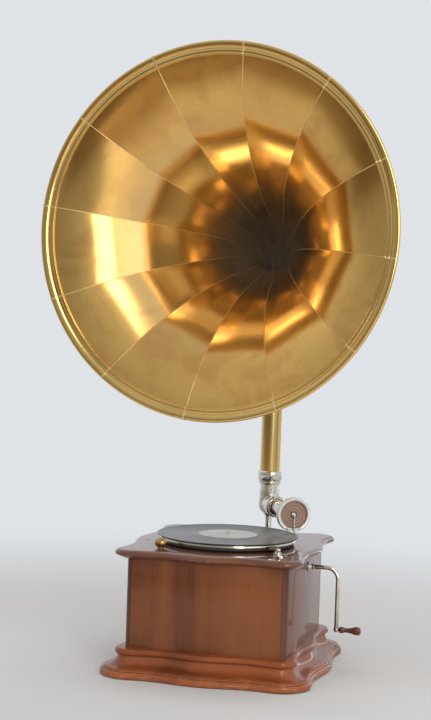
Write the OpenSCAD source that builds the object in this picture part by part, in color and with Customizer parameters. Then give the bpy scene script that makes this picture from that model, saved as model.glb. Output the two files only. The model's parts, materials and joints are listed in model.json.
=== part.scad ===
// Table gramophone with a flared panelled horn, in millimetres, +Z up, front towards -Y.
// The origin is the centre of the base's underside.

/* [Case] */
// Width over the side panels
case_w = 280; // [270:1:300]
// Depth over the front and rear panels
case_d = 320; // [314:1:340]
// Height of the panels between the base and the lid
panel_h = 157; // [150:1:180]
// Thickness of the panels
wall = 12; // [11:0.5:14]
// Radius of the rounded corner columns
column_r = 10; // [6:0.5:10.5]

/* [Base] */
// Thickness of the base slab
slab_h = 19; // [14:0.5:26]
// Overhang of the slab past the panels
slab_out = 44; // [38:0.5:50]
// Height of the hollow moulding on the slab
cove_h = 15.5; // [10:0.5:22]
// Height of the half-round bead under the panels
bead_h = 8.5; // [6:0.5:12]
// Overhang of the bead past the panels
bead_out = 12; // [9:0.5:16]
// Swing of the serpentine edge, in and out
wave = 5.5; // [0:0.5:7]
// Corner radius of the serpentine edge on the panel line
edge_r = 12; // [6:0.5:20]

/* [Lid] */
// Thickness of the lid
lid_h = 15; // [12:0.5:20]
// Overhang of the lid past the panels
lid_out = 21; // [17:0.5:24]

/* [Turntable] */
// Place of the spindle in front of the case's middle
spindle_y = -10; // [-14:0.5:-8]
// Radius of the spindle in its bearings
spindle_r = 4; // [3.5:0.1:5]
// Radius of the pin that centres the record
pin_r = 3.6; // [3:0.1:3.6]
// Height of the pin above the record
pin_rise = 6.5; // [4:0.5:9]
// Radius of the platter
platter_r = 121; // [112:0.5:122]
// Height of the platter's rim
platter_h = 9; // [8:0.5:12]
// Gap between the lid and the platter
platter_gap = 2.5; // [2:0.1:4]
// Thickness of the felt
felt_t = 1.3; // [0.8:0.1:2]
// Radius of the record
record_r = 125; // [124:0.5:127]
// Thickness of the record
record_t = 2.2; // [1.6:0.1:3]

/* [Crank] */
// Place of the crank behind the case's middle
crank_y = 20; // [16:0.5:24]
// Depth of the crank's axis below the lid
crank_drop = 22; // [21:0.5:24]
// Radius of the crank's rod
rod_r = 3.7; // [3.2:0.1:4]
// Distance from the side panel to the crank's arm
crank_reach = 54; // [50:0.5:70]
// Length of the crank's arm from axis to grip
crank_throw = 108; // [80:1:112]
// Bend radius of the rod
rod_bend = 20; // [10:0.5:24]
// Length of the grip
grip_len = 38; // [30:1:50]

/* [Motor] */
// Module of the spur wheels
tooth_m = 1.25; // [1.2:0.01:1.3]
// Teeth of the great wheel on the spring barrel
great_teeth = 60; // [58:1:62]
// Teeth of the intermediate wheel
middle_teeth = 48; // [47:1:49]
// Teeth of the pinions
pinion_teeth = 12; // [12:1:13]
// Module of the winding wheels
wind_m = 1.5; // [1.45:0.01:1.55]
// Teeth of the crown wheel
crown_teeth = 36; // [35:1:37]
// Radius of the spring barrel
barrel_r = 38; // [34:0.5:39]
// Height of the spring barrel
barrel_h = 40; // [30:1:44]
// Height of the motor between its plates
motor_h = 115; // [114:1:118]
// Thickness of the motor's plates
plate_t = 5; // [3:0.5:6]
// Radius of the worm wheel over its teeth
worm_wheel_r = 18.8; // [16:0.2:19]
// Radius of the governor's flying weights
weight_r = 5; // [4:0.25:5.5]

/* [Horn support] */
// Place of the horn's column right of the case's middle
column_x = 29; // [24:0.5:34]
// Gap from the rear panel to the column
column_gap = 35; // [33.5:0.5:40]
// Radius of the support post
post_r = 6.2; // [5:0.1:7]
// Height of the tone arm's axis above the record
arm_rise = 32; // [30:0.5:38]
// Radius of the elbow over its wall
elbow_r = 18; // [16:0.25:18.5]
// Wall of the elbow
elbow_wall = 3; // [2:0.25:4]
// Height of the elbow's neck above the arm's axis
neck_rise = 39; // [34:0.5:46]

/* [Tone arm] */
// Turn of the tone arm from straight forward, to the right
arm_turn = 28.7; // [26:0.1:32]
// Length of the tone arm from the column to the back of the sound box
arm_len = 144; // [138:0.5:150]
// Radius of the tone arm at the sound box
arm_r = 9; // [7.5:0.25:10]
// Radius of the sound box
box_r = 31; // [28.5:0.25:31.5]
// Depth of the sound box's ring
box_t = 10; // [8:0.5:14]

/* [Horn] */
// Radius of the horn's mouth over its rolled rim
mouth_r = 305; // [240:5:320]
// Number of panels
panels = 12; // [8:1:16]
// Thickness of the horn's sheet
sheet = 0.8; // [0.6:0.1:1.4]
// Length of the bell along its axis, up to the bend
bell_len = 374; // [330:1:420]
// Radius of the bend behind the bell
bend_r = 100; // [80:5:120]
// Length over which the flare opens
flare_len = 190; // [150:5:220]
// Power of the flare, lower for a wider lip
flare_power = 0.72; // [0.65:0.01:0.9]
// Turn of the mouth from straight forward, to the right
mouth_turn = -6.5; // [-15:0.5:15]
// Tilt of the mouth upwards
mouth_tilt = 2; // [0:0.5:8]
// Sideways turn of the bell's axis from mouth to bend
bell_turn = 9.2; // [1:0.1:15]
// Radius of the tail pipe
pipe_r = 19; // [17:0.25:20]
// Length of the tail pipe
pipe_len = 321; // [260:1:360]
// Height of the folded seams
seam_h = 3; // [2:0.25:5]

/* [Hidden] */
$fn = 64;

// Clearances
fit = 0.05;
seat = 0.3;
eps = 0.5;

// Colours of the finishes
wood_c = "SaddleBrown";
brass_c = "Goldenrod";
nickel_c = "Silver";
steel_c = "SlateGray";
iron_c = "DimGray";

// Case levels
cove_z = slab_h;
bead_z = cove_z + cove_h;
panel_z = bead_z + bead_h;
lid_z = panel_z + panel_h;
lid_top = lid_z + lid_h;
half_w = case_w / 2;
half_d = case_d / 2;
inner_w = case_w - 2 * wall;
inner_d = case_d - 2 * wall;
side_steps = 14;
corner_steps = 6;
mitre_gap = 0.05;

// Turntable levels
platter_z = lid_top + platter_gap;
platter_top = platter_z + platter_h;
felt_z = platter_top + felt_t;
record_top = felt_z + record_t;
pin_top = record_top + pin_rise;
platter_web = 3;
platter_rim = 5.5;
platter_lip = 5;
platter_inset = 3.4;
hub_r = 14;
spindle_collar_r = 9;
pin_end_r = pin_r - 0.5;
pin_point = 1.5;

// Motor levels and places
top_plate_z = lid_z - plate_t;
low_plate_z = top_plate_z - motor_h - plate_t;
low_face = low_plate_z + plate_t;
crank_z = lid_z - crank_drop;
wind_r = wind_m * pinion_teeth / 2;
crown_r = wind_m * crown_teeth / 2;
great_r = tooth_m * great_teeth / 2;
middle_r = tooth_m * middle_teeth / 2;
pinion_r = tooth_m * pinion_teeth / 2;
spindle = [0, spindle_y];
barrel = [55, crank_y];
to_barrel = barrel - spindle;
span_b = norm(to_barrel);
reach_s = middle_r + pinion_r;
reach_b = great_r + pinion_r;
along = (span_b * span_b + reach_s * reach_s - reach_b * reach_b) / (2 * span_b);
aside = sqrt(reach_s * reach_s - along * along);
middle = spindle + to_barrel * along / span_b + [-to_barrel[1], to_barrel[0]] * aside / span_b;
wheel_t = 4;
pinion_t = 8;
middle_z = low_face + 6;
great_z = middle_z + 14;
barrel_z = great_z + wheel_t;
cover_t = 2.5;
barrel_wall = 2.5;
arbor_r = 5;
pivot_r = 3;
crown_pitch_z = crank_z - wind_r;
crown_t = 6;
tooth_rise = 0.8;
tooth_root = 1.05;
crown_face = crown_pitch_z - tooth_root * wind_m;
crown_w = 5;
pillar_r = 5;
plate_edge = 8;
plate_end = 6;
plate_front = 14;
plate_reach = 50;
pillars = [[-28, spindle_y + 5], [-17, crank_y + 37], [barrel[0] + 37, crank_y + 37],
           [barrel[0] + 37, crank_y - 45]];

// Governor along X in front of the spindle
worm_r = 4;
worm_z = crown_face - 17;
worm_t = 6;
governor_y = spindle_y - worm_wheel_r - seat - worm_r;
governor_r = 2.5;
governor_x0 = -90;
governor_x1 = 22;
bracket_t = 4;
weight_x = -38;
weight_off = 11;
spring_half = 15;
spring_t = 0.6;
weight_hub = weight_off - weight_r + 1 - spring_t;
disc_x = weight_x - spring_half - 4;
disc_r = 16;

// Speed lever and brake on the lid
knob_inset = 31;
knob = [-89, knob_inset - half_d];
knob_r = 10;
stem_r = 4;
lever_t = 4;
lever_z = top_plate_z - 1 - lever_t;
finger_x = disc_x - seat - 3;
brake_axis = [114, -126];
brake_bar = 46;
brake_turn_a = 14;
brake_t = 3;
brake_z = lid_top + 2 + seat;

// Crank
arm_x = half_w + crank_reach;
grip_z = crank_z - crank_throw;
grip_pin_r = 1.6;
grip_x = arm_x + rod_r + 1.3;

// Horn column
column_y = half_d + column_gap;
bracket_h = 70;
bracket_edge = 8;
bracket_z = panel_z + 62;
arm_z = record_top + arm_rise;
elbow_ball = elbow_r + 2;
post_top = arm_z - elbow_ball - 2;
pivot_pin_r = 4;
pivot_pin_h = 5;
flange_z = arm_z + neck_rise;
flange_t = 4;
flange_r = elbow_r + 3;
collar_z = flange_z + flange_t + 0.2;
collar_h = 20;
collar_r = elbow_r + 5;
collar_step = 12;
neck_top = collar_z + collar_step - seat;
duct_r = elbow_r - elbow_wall;
outlet_r = elbow_r - 1;
outlet_duct = outlet_r - elbow_wall;

// Tone arm and sound box, lengths along the arm
union_a = 36;
union_t = 16;
union_band = 8;
union_r = outlet_r + 3.2;
joint_a = union_a + 9;
ball_r = outlet_r - 1.7;
ball_half = 6.5;
arm_root_r = 12;
arm_bore = 6;
sleeve_len = 12;
box_a = arm_len;
back_t = 4;
ring_a = box_a + back_t;
ring_end = ring_a + box_t;
ring_in = box_r - 5.5;
lip_in = ring_in - 1.5;
lip_t = 3.4;
gasket_t = 1;
disc_t = 0.6;
disc_a = ring_end - lip_t - gasket_t - disc_t;
chord_y = box_r - 5;
bar_a = ring_end + 2.2;
needle_tip = arm_rise - seat;

// Horn
pipe_z = collar_z + collar_step;
pipe_top = pipe_z + pipe_len;
pipe_wall = 1.5;
ferrule_r = pipe_r + 3;
ferrule_h = 12;
tail_r = pipe_r + 0.5;
bend_turn = 90 - mouth_tilt;
horn_len = bell_len + bend_r * bend_turn * PI / 180;
rim_tube = 6;
rim_band = 19;
ridge_r = 2.5;
petal_steps = 22;
petal_cols = 3;
seam_w = 2.4;
petal_gap = 0.02;

// Serpentine outline that stands out past the panels by a given width
function offset_at(t, half) = wave * cos(360 * t / half);
function side_point(i, half, dist, r) =
    let (t = (half - r) * (2 * i / (side_steps - 1) - 1))
    [t, -dist - offset_at(t, half)];
function corner_point(j, half, dist, r) =
    let (k = j / corner_steps,
         o = offset_at(half - r, half) * (1 - k) + offset_at(dist - r, dist) * k,
         a = -90 + 90 * k)
    [half - r + (r + o) * cos(a), -dist + r + (r + o) * sin(a)];
function turned(p, k) =
    k == 0 ? p : k == 1 ? [-p[1], p[0]] : k == 2 ? -p : [p[1], -p[0]];
function outline(out) =
    let (hx = half_w + out, hy = half_d + out, r = edge_r + out)
    [for (k = [0:3])
        let (half = k % 2 == 0 ? hx : hy, dist = k % 2 == 0 ? hy : hx)
        each [for (i = [0:side_steps - 1]) turned(side_point(i, half, dist, r), k),
              for (j = [1:corner_steps - 1]) turned(corner_point(j, half, dist, r), k)]];

// Solid between stacked outlines, from a list of [height, overhang]
module moulded(levels) {
    loops = [for (l = levels) [for (p = outline(l[1])) [p[0], p[1], l[0]]]];
    n = len(loops[0]);
    m = len(levels);
    faces = [[for (i = [0:n - 1]) i],
             for (l = [0:m - 2]) for (i = [0:n - 1])
                 let (a = l * n + i, b = l * n + (i + 1) % n)
                 each [[a, b + n, b], [a, a + n, b + n]],
             [for (i = [0:n - 1]) m * n - 1 - i]];
    polyhedron(points = [for (l = loops) each l], faces = faces, convexity = 6);
}

// Frame of four mitred strips between stacked outlines, open inside the panels
module mitred(levels) {
    half_corner = corner_steps / 2;
    run = side_steps + corner_steps - 1;
    loop = len(levels) + 2;
    rows = run + 1;
    for (k = [0:3]) {
        half = k % 2 == 0 ? half_w : half_d;
        dist = k % 2 == 0 ? half_d : half_w;
        edges = [for (l = levels) outline(l[1])];
        strips = [for (e = edges)
            [for (i = [0:rows - 1]) turned(e[(k * run - half_corner + i + len(e)) % len(e)], (4 - k) % 4)]];
        ends = strips[0][rows - 1][0];
        inside = [for (p = strips[0]) [p[0] / ends * (half - wall), wall - dist]];
        slim = 1 - mitre_gap / half;
        bottom = levels[0][0];
        top = levels[len(levels) - 1][0];
        points = [for (i = [0:rows - 1])
            each [for (j = [0:loop - 1])
                let (p = j == 0 || j == loop - 1 ? inside[i] : strips[j - 1][i],
                     q = turned([p[0] * slim, p[1]], k))
                [q[0], q[1], j == 0 ? bottom : j == loop - 1 ? top : levels[j - 1][0]]]];
        faces = [[for (j = [0:loop - 1]) j],
                 for (i = [0:rows - 2], j = [0:loop - 1])
                     let (a = i * loop + j, b = i * loop + (j + 1) % loop)
                     each [[a, b + loop, b], [a, a + loop, b + loop]],
                 [for (j = [0:loop - 1]) rows * loop - 1 - j]];
        polyhedron(points = points, faces = faces, convexity = 6);
    }
}

// Half-round edge as levels, from a list of angles
function round_edge(z, h, out, bulge) =
    [for (a = [-90:36:90]) [z + h / 2 + h / 2 * sin(a), out - bulge * (1 - cos(a))]];

// Hollow under a rounded nose as levels, in shares of the height
function nosed_edge(z, h, out) =
    [for (q = [[0, 1], [0.12, 0.97], [0.26, 0.82], [0.36, 0.5], [0.4, 0.22], [0.52, 0.04], [0.68, 0],
               [0.86, 0.1], [0.95, 0.22], [1, 0.38]])
        [z + q[0] * h, out - q[1] * h]];

// The rounded edge is planed off flat at the floor
module base_slab()
    color(wood_c)
        intersection() {
            moulded(round_edge(-1, slab_h + 1, slab_out, 5));
            translate([-case_w, -case_d, 0])
                cube([2 * case_w, 2 * case_d, 2 * slab_h]);
        }

// A hollow curve from a fillet on the slab up to the neck under the bead
module base_cove() {
    foot = slab_out - 7;
    neck = bead_out - 1;
    fillet = 2;
    color(wood_c)
        mitred([[cove_z, foot], [cove_z + fillet, foot],
                for (a = [0:18:90]) [cove_z + fillet + (cove_h - fillet) * sin(a),
                                     neck + (foot - 1.5 - neck) * (1 - sin(a)) * cos(a / 2)]]);
}

module base_bead()
    color(wood_c)
        mitred(round_edge(bead_z, bead_h, bead_out, 3.5));

module cross_panel()
    translate([-half_w + column_r, -wall / 2, panel_z])
        cube([case_w - 2 * column_r, wall, panel_h]);

module front_panel()
    color(wood_c)
        translate([0, -half_d + wall / 2, 0])
            cross_panel();

module rear_panel()
    color(wood_c)
        translate([0, half_d - wall / 2, 0])
            cross_panel();

module side_panel(side)
    translate([side * (half_w - wall / 2) - wall / 2, -inner_d / 2, panel_z])
        cube([wall, inner_d, panel_h]);

module left_panel()
    color(wood_c)
        side_panel(-1);

module right_panel()
    color(wood_c)
        difference() {
            side_panel(1);
            translate([half_w - wall - eps, crank_y, crank_z])
                rotate([0, 90, 0])
                    cylinder(r = rod_r + 2, h = wall + 2 * eps);
        }

// Quarter-round columns that close the corners
module corner_columns()
    color(wood_c)
        for (sx = [-1, 1], sy = [-1, 1])
            scale_mirror(sx, sy)
                translate([half_w - column_r, half_d - column_r, panel_z]) {
                    intersection() {
                        cylinder(r = column_r, h = panel_h);
                        cube([column_r, column_r, panel_h]);
                    }
                    translate([0, column_r - wall, 0])
                        cube([column_r, wall - column_r, panel_h]);
                }

module scale_mirror(sx, sy)
    mirror([sx < 0 ? 1 : 0, 0, 0])
        mirror([0, sy < 0 ? 1 : 0, 0])
            children();

module lid_board()
    color(wood_c)
        difference() {
            moulded(nosed_edge(lid_z, lid_h, lid_out));
            translate([0, spindle_y, lid_z - eps])
                cylinder(r = spindle_collar_r + 1, h = lid_h + 2 * eps);
            translate([knob[0], knob[1], lid_z - eps])
                cylinder(r = stem_r + fit, h = lid_h + 2 * eps);
        }

module crank_escutcheon()
    color(nickel_c)
        translate([half_w, crank_y, crank_z])
            rotate([0, 90, 0])
                rotate_extrude()
                    polygon([[rod_r + seat, 0], [8, 0], [8, 1.2], [7.2, 2.2], [6.4, 2.6], [6.2, 6],
                             [5.6, 7], [rod_r + seat, 7]]);

// Support of the horn behind the case
module bracket_plate() {
    lug_t = 10;
    hub = post_r + 5;
    color(nickel_c)
        difference() {
            union() {
                translate([column_x - 30, half_d, bracket_z])
                    cube([60, 5, bracket_h]);
                for (z = [bracket_z + bracket_edge, bracket_z + bracket_h - bracket_edge - lug_t]) {
                    translate([column_x - hub, half_d + 5, z])
                        cube([2 * hub, column_gap - 5, lug_t]);
                    translate([column_x, column_y, z])
                        cylinder(r = hub, h = lug_t);
                }
            }
            translate([column_x, column_y, bracket_z])
                cylinder(r = post_r + fit, h = bracket_h);
        }
}

module bracket_post() {
    z0 = bracket_z + bracket_edge;
    lug_top = bracket_z + bracket_h - bracket_edge;
    color(nickel_c)
        translate([column_x, column_y, 0]) {
            translate([0, 0, z0])
                cylinder(r = post_r, h = post_top - z0);
            translate([0, 0, lug_top])
                cylinder(r = post_r + 2.5, h = 4);
            translate([0, 0, post_top - 1])
                cylinder(r = pivot_pin_r, h = pivot_pin_h + 1);
        }
}

// Motor frame
module plate_bores(z) {
    for (p = [spindle, barrel, middle])
        translate([p[0], p[1], z - eps])
            cylinder(r = (p == spindle && z > low_face ? spindle_r : pivot_r) + fit, h = plate_t + 2 * eps);
}

module motor_top_plate()
    color(iron_c)
        difference() {
            x0 = governor_x0 - plate_end;
            y0 = governor_y - plate_front;
            translate([x0, y0, top_plate_z])
                cube([barrel[0] + plate_reach - x0, crank_y + plate_reach - y0, plate_t]);
            plate_bores(top_plate_z);
        }

module motor_bottom_plate()
    color(iron_c)
        difference() {
            x0 = pillars[0][0] - plate_edge;
            x1 = pillars[2][0] + plate_edge;
            y0 = pillars[3][1] - plate_edge;
            y1 = pillars[1][1] + plate_edge;
            translate([x0, y0, low_plate_z])
                cube([x1 - x0, y1 - y0, plate_t]);
            plate_bores(low_plate_z);
        }

module motor_pillars()
    color(steel_c)
        for (p = pillars)
            translate([p[0], p[1], low_face])
                cylinder(r = pillar_r, h = motor_h);

// Two lugs under the top plate carry the crank's rod
module crank_bearing()
    color(iron_c)
        for (x = [barrel[0] + 13, barrel[0] + 40])
            translate([x, crank_y, 0])
                difference() {
                    translate([0, -9, crank_z - 7])
                        cube([5, 18, top_plate_z - crank_z + 7]);
                    translate([-eps, 0, crank_z])
                        rotate([0, 90, 0])
                            cylinder(r = rod_r + fit, h = 5 + 2 * eps);
                }

module governor_bracket()
    color(iron_c)
        for (x = [governor_x0, governor_x1 - bracket_t])
            translate([x, governor_y, 0])
                difference() {
                    translate([0, -7, worm_z - 7])
                        cube([bracket_t, 14, top_plate_z - worm_z + 7]);
                    translate([-eps, 0, worm_z])
                        rotate([0, 90, 0])
                            cylinder(r = governor_r + fit, h = bracket_t + 2 * eps);
                }

// Toothed outline with a named share of the pitch for each tooth
function gear_points(n, m) =
    let (r = m * n / 2, tip = r + tooth_rise * m, root = r - tooth_root * m)
    [for (i = [0:n - 1], q = [[root, -0.31], [r, -0.2], [tip, -0.1], [tip, 0.1], [r, 0.2], [root, 0.31]])
        let (a = (i + q[1]) * 360 / n)
        [q[0] * cos(a), q[0] * sin(a)]];

module gear(n, m, h)
    linear_extrude(height = h)
        polygon(gear_points(n, m));

function heading(from, to) = atan2(to[1] - from[1], to[0] - from[0]);

// Crank
module crank_rod() {
    start = barrel[0] + 11;
    color(nickel_c) {
        translate([start, crank_y, crank_z])
            rotate([0, 90, 0])
                cylinder(r = rod_r, h = arm_x - rod_bend - start);
        translate([arm_x - rod_bend, crank_y, crank_z - rod_bend])
            rotate([90, 0, 0])
                rotate_extrude(angle = 90)
                    translate([rod_bend, 0])
                        circle(r = rod_r);
        translate([arm_x, crank_y, grip_z])
            cylinder(r = rod_r, h = crank_throw - rod_bend);
        translate([arm_x, crank_y, grip_z])
            sphere(r = rod_r + 0.8);
        translate([arm_x, crank_y, grip_z])
            rotate([0, 90, 0]) {
                cylinder(r = grip_pin_r, h = grip_x - arm_x + grip_len);
                translate([0, 0, grip_x - arm_x + grip_len + seat])
                    cylinder(r = grip_pin_r + 1.2, h = 1.2);
                cylinder(r = grip_pin_r, h = grip_x - arm_x + grip_len + 1);
            }
    }
}

module winding_pinion()
    color(steel_c)
        translate([barrel[0] + crown_r - 4, crank_y, crank_z])
            rotate([0, 90, 0])
                difference() {
                    rotate([0, 0, 180 / pinion_teeth])
                        gear(pinion_teeth, wind_m, pinion_t);
                    translate([0, 0, -eps])
                        cylinder(r = rod_r, h = pinion_t + 2 * eps);
                }

// Turned wooden grip with a ball, a waist and a bulb
module crank_grip() {
    function turn(t) = 3.9 + 2 * exp(-pow((t - 0.12) / 0.11, 2)) + 3.6 * exp(-pow((t - 0.82) / 0.24, 2));
    steps = 20;
    color("Maroon")
        translate([grip_x, crank_y, grip_z])
            rotate([0, 90, 0])
                rotate_extrude()
                    polygon([[grip_pin_r + fit, 0],
                             for (i = [0:steps]) [turn(i / steps), grip_len * i / steps],
                             [grip_pin_r + fit, grip_len]]);
}

// Winding wheel and spring barrel
module barrel_arbor()
    color(steel_c)
        translate([barrel[0], barrel[1], 0]) {
            translate([0, 0, low_plate_z])
                cylinder(r = pivot_r, h = top_plate_z + plate_t - low_plate_z);
            translate([0, 0, low_face + seat])
                cylinder(r = arbor_r, h = motor_h - 2 * seat);
            translate([0, 0, great_z - seat - 4])
                cylinder(r = arbor_r + 3, h = 4);
            translate([0, 0, crown_face - crown_t - 3])
                cylinder(r = arbor_r + 3, h = 3);
        }

module crown_wheel()
    color(steel_c)
        translate([barrel[0], barrel[1], 0])
            difference() {
                union() {
                    translate([0, 0, crown_face - crown_t])
                        cylinder(r = crown_r + crown_w / 2, h = crown_t);
                    for (i = [0:crown_teeth - 1])
                        rotate([0, 0, 360 * i / crown_teeth])
                            translate([crown_r - crown_w / 2 + 0.2, -0.17 * PI * wind_m, crown_face - 1])
                                cube([crown_w - 0.7, 0.34 * PI * wind_m, (tooth_rise + tooth_root) * wind_m + 1]);
                }
                translate([0, 0, crown_face - crown_t - eps])
                    cylinder(r = arbor_r + fit, h = crown_t + 2 * eps);
            }

module spring_barrel()
    color(brass_c)
        translate([barrel[0], barrel[1], barrel_z])
            difference() {
                cylinder(r = barrel_r, h = barrel_h);
                translate([0, 0, barrel_wall])
                    cylinder(r = barrel_r - barrel_wall, h = barrel_h);
                translate([0, 0, -eps])
                    cylinder(r = arbor_r + fit, h = barrel_h);
            }

module barrel_cover()
    color(brass_c)
        translate([barrel[0], barrel[1], barrel_z + barrel_h])
            difference() {
                cylinder(r = barrel_r, h = cover_t);
                translate([0, 0, -eps])
                    cylinder(r = arbor_r + fit, h = cover_t + 2 * eps);
            }

module great_wheel()
    color(brass_c)
        translate([barrel[0], barrel[1], great_z])
            difference() {
                rotate([0, 0, heading(barrel, middle)])
                    gear(great_teeth, tooth_m, wheel_t);
                translate([0, 0, -eps])
                    cylinder(r = arbor_r + fit, h = wheel_t + 2 * eps);
            }

// Flat spiral ribbon wound inside the barrel
module main_spring() {
    turns = 7;
    per_turn = 20;
    ribbon = 0.9;
    r0 = arbor_r + 3.5;
    r1 = barrel_r - barrel_wall - 0.2 - ribbon;
    n = turns * per_turn;
    function at(i, extra) = let (r = r0 + (r1 - r0) * i / n + extra, a = 360 * i / per_turn) [r * cos(a), r * sin(a)];
    color(steel_c)
        translate([barrel[0], barrel[1], barrel_z + barrel_wall])
            linear_extrude(height = barrel_h - barrel_wall - 1)
                polygon([for (i = [0:n]) at(i, 0), for (i = [n:-1:0]) at(i, ribbon)]);
}

// Intermediate wheel
module middle_arbor()
    color(steel_c)
        translate([middle[0], middle[1], 0]) {
            translate([0, 0, low_plate_z])
                cylinder(r = pivot_r, h = top_plate_z + plate_t - low_plate_z);
            translate([0, 0, low_face + seat])
                cylinder(r = arbor_r - 1, h = motor_h - 2 * seat);
            translate([0, 0, middle_z - 2])
                cylinder(r = arbor_r + 2, h = 2);
            translate([0, 0, barrel_z - seat - pinion_t])
                rotate([0, 0, heading(middle, barrel) + 180 / pinion_teeth])
                    gear(pinion_teeth, tooth_m, pinion_t);
        }

module middle_wheel()
    color(brass_c)
        translate([middle[0], middle[1], middle_z])
            difference() {
                rotate([0, 0, heading(middle, spindle)])
                    gear(middle_teeth, tooth_m, wheel_t);
                translate([0, 0, -eps])
                    cylinder(r = arbor_r - 1 + fit, h = wheel_t + 2 * eps);
            }

// Turntable
module turntable_spindle()
    color(steel_c)
        translate([0, spindle_y, 0]) {
            translate([0, 0, low_plate_z])
                cylinder(r = pivot_r, h = low_face + seat + 1 - low_plate_z);
            translate([0, 0, low_face + seat])
                cylinder(r = spindle_r, h = platter_top - low_face - seat);
            translate([0, 0, middle_z - 2])
                rotate([0, 0, heading(spindle, middle) + 180 / pinion_teeth])
                    gear(pinion_teeth, tooth_m, pinion_t);
            translate([0, 0, worm_z - worm_t / 2 - 3])
                cylinder(r = spindle_r + 3, h = 3);
            translate([0, 0, lid_top - 2])
                cylinder(r = spindle_collar_r, h = platter_gap + 2);
            translate([0, 0, platter_top - eps])
                cylinder(r = pin_r, h = record_top - platter_top + eps);
            translate([0, 0, record_top - eps])
                cylinder(r = pin_end_r, h = pin_rise - pin_point + eps);
            translate([0, 0, pin_top - pin_point])
                cylinder(r1 = pin_end_r, r2 = pin_end_r - pin_point, h = pin_point);
        }

module worm_wheel()
    color(brass_c)
        translate([0, spindle_y, worm_z - worm_t / 2])
            difference() {
                gear(36, worm_wheel_r / (18 + tooth_rise), worm_t);
                translate([0, 0, -eps])
                    cylinder(r = spindle_r + fit, h = worm_t + 2 * eps);
            }

// Dished platter with a skirt and a hub
module platter()
    color(nickel_c)
        translate([0, spindle_y, platter_z])
            rotate_extrude($fn = 128)
                polygon([[spindle_r + fit, 0], [hub_r, 0], [hub_r, platter_h - platter_web],
                         [platter_r - platter_rim, platter_h - platter_web], [platter_r - platter_rim, 0],
                         [platter_r - platter_inset - 0.6, 0],
                         [platter_r - platter_inset, platter_h - platter_lip - 0.6],
                         [platter_r - 0.8, platter_h - platter_lip], [platter_r, platter_h - platter_lip + 0.8],
                         [platter_r, platter_h - 1], [platter_r - 1, platter_h], [spindle_r + fit, platter_h]]);

module felt_mat()
    color("DarkOliveGreen")
        translate([0, spindle_y, platter_top])
            difference() {
                cylinder(r = platter_r - 1.5, h = felt_t, $fn = 128);
                translate([0, 0, -eps])
                    cylinder(r = spindle_r + 0.2, h = felt_t + 2 * eps);
            }

module record()
    color("Black")
        translate([0, spindle_y, felt_z])
            rotate_extrude($fn = 128)
                polygon([[pin_r + 0.1, 0], [record_r - 0.6, 0], [record_r, 0.6], [record_r, record_t - 0.6],
                         [record_r - 0.6, record_t], [pin_r + 0.1, record_t]]);

// Governor
module along_governor(x)
    translate([x, governor_y, worm_z])
        rotate([0, 90, 0])
            children();

module governor_shaft()
    color(steel_c) {
        along_governor(governor_x0)
            cylinder(r = governor_r, h = governor_x1 - governor_x0);
        along_governor(-11)
            cylinder(r = worm_r, h = 22);
        along_governor(weight_x + spring_half - 2)
            cylinder(r = weight_hub, h = 6);
    }

module governor_weights()
    color(brass_c)
        along_governor(weight_x)
            for (a = [0:120:240])
                rotate([0, 0, a])
                    translate([weight_off, 0, 0])
                        intersection() {
                            sphere(r = weight_r);
                            translate([-weight_r + 1, -weight_r, -weight_r])
                                cube([2 * weight_r, 2 * weight_r, 2 * weight_r]);
                        }

// Leaf springs from the fixed collar to the sliding disc's hub
module governor_springs()
    color(steel_c)
        along_governor(weight_x - spring_half)
            for (a = [0:120:240])
                rotate([0, 0, a])
                    translate([weight_hub, -2, 0])
                        cube([spring_t, 4, 2 * spring_half]);

module governor_disc()
    color(brass_c)
        along_governor(disc_x)
            difference() {
                union() {
                    cylinder(r = disc_r, h = 2);
                    cylinder(r = weight_hub, h = 9);
                }
                translate([0, 0, -eps])
                    cylinder(r = governor_r + fit, h = 9 + 2 * eps);
            }

// Speed control: a ball knob above the lid and a lever below it
module speed_knob()
    color(brass_c)
        translate([knob[0], knob[1], 0]) {
            translate([0, 0, lid_top + 1 + knob_r])
                sphere(r = knob_r);
            translate([0, 0, lever_z])
                cylinder(r = stem_r, h = lid_top + 3 - lever_z);
            translate([0, 0, lid_top + 0.2])
                cylinder(r = stem_r + 2.5, h = 2);
        }

module speed_lever() {
    tip = [finger_x, governor_y];
    reach = norm(tip - knob);
    color(steel_c)
        difference() {
            union() {
                translate([knob[0], knob[1], lever_z]) {
                    cylinder(r = stem_r + 4, h = lever_t);
                    rotate([0, 0, heading(knob, tip)])
                        translate([stem_r + 2, -4, 0.5])
                            cube([reach - stem_r, 8, lever_t - 1]);
                }
                translate([finger_x - 1.5, governor_y - 5.5, worm_z + 4])
                    cube([3, 11, lever_z + lever_t / 2 - worm_z - 4]);
                translate([finger_x - 0.5, governor_y, worm_z + 9])
                    rotate([0, 90, 0])
                        cylinder(r = 3.5, h = 3.5);
            }
            translate([knob[0], knob[1], lever_z - eps])
                cylinder(r = stem_r + fit, h = lever_t + 2 * eps);
        }
}

// Brake: a lever whose pad bears on the platter's rim
module at_brake(z)
    translate([brake_axis[0], brake_axis[1], z])
        rotate([0, 0, 90 + brake_turn_a])
            children();

module brake_plate()
    color(nickel_c)
        at_brake(lid_top) {
            translate([-15, -8, 0])
                cube([30, 16, 2]);
            cylinder(r = 3, h = brake_z + brake_t + 3 - lid_top);
            translate([0, 0, brake_z + brake_t + seat - lid_top])
                cylinder(r = 5, h = 2.7 - seat);
        }

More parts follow.
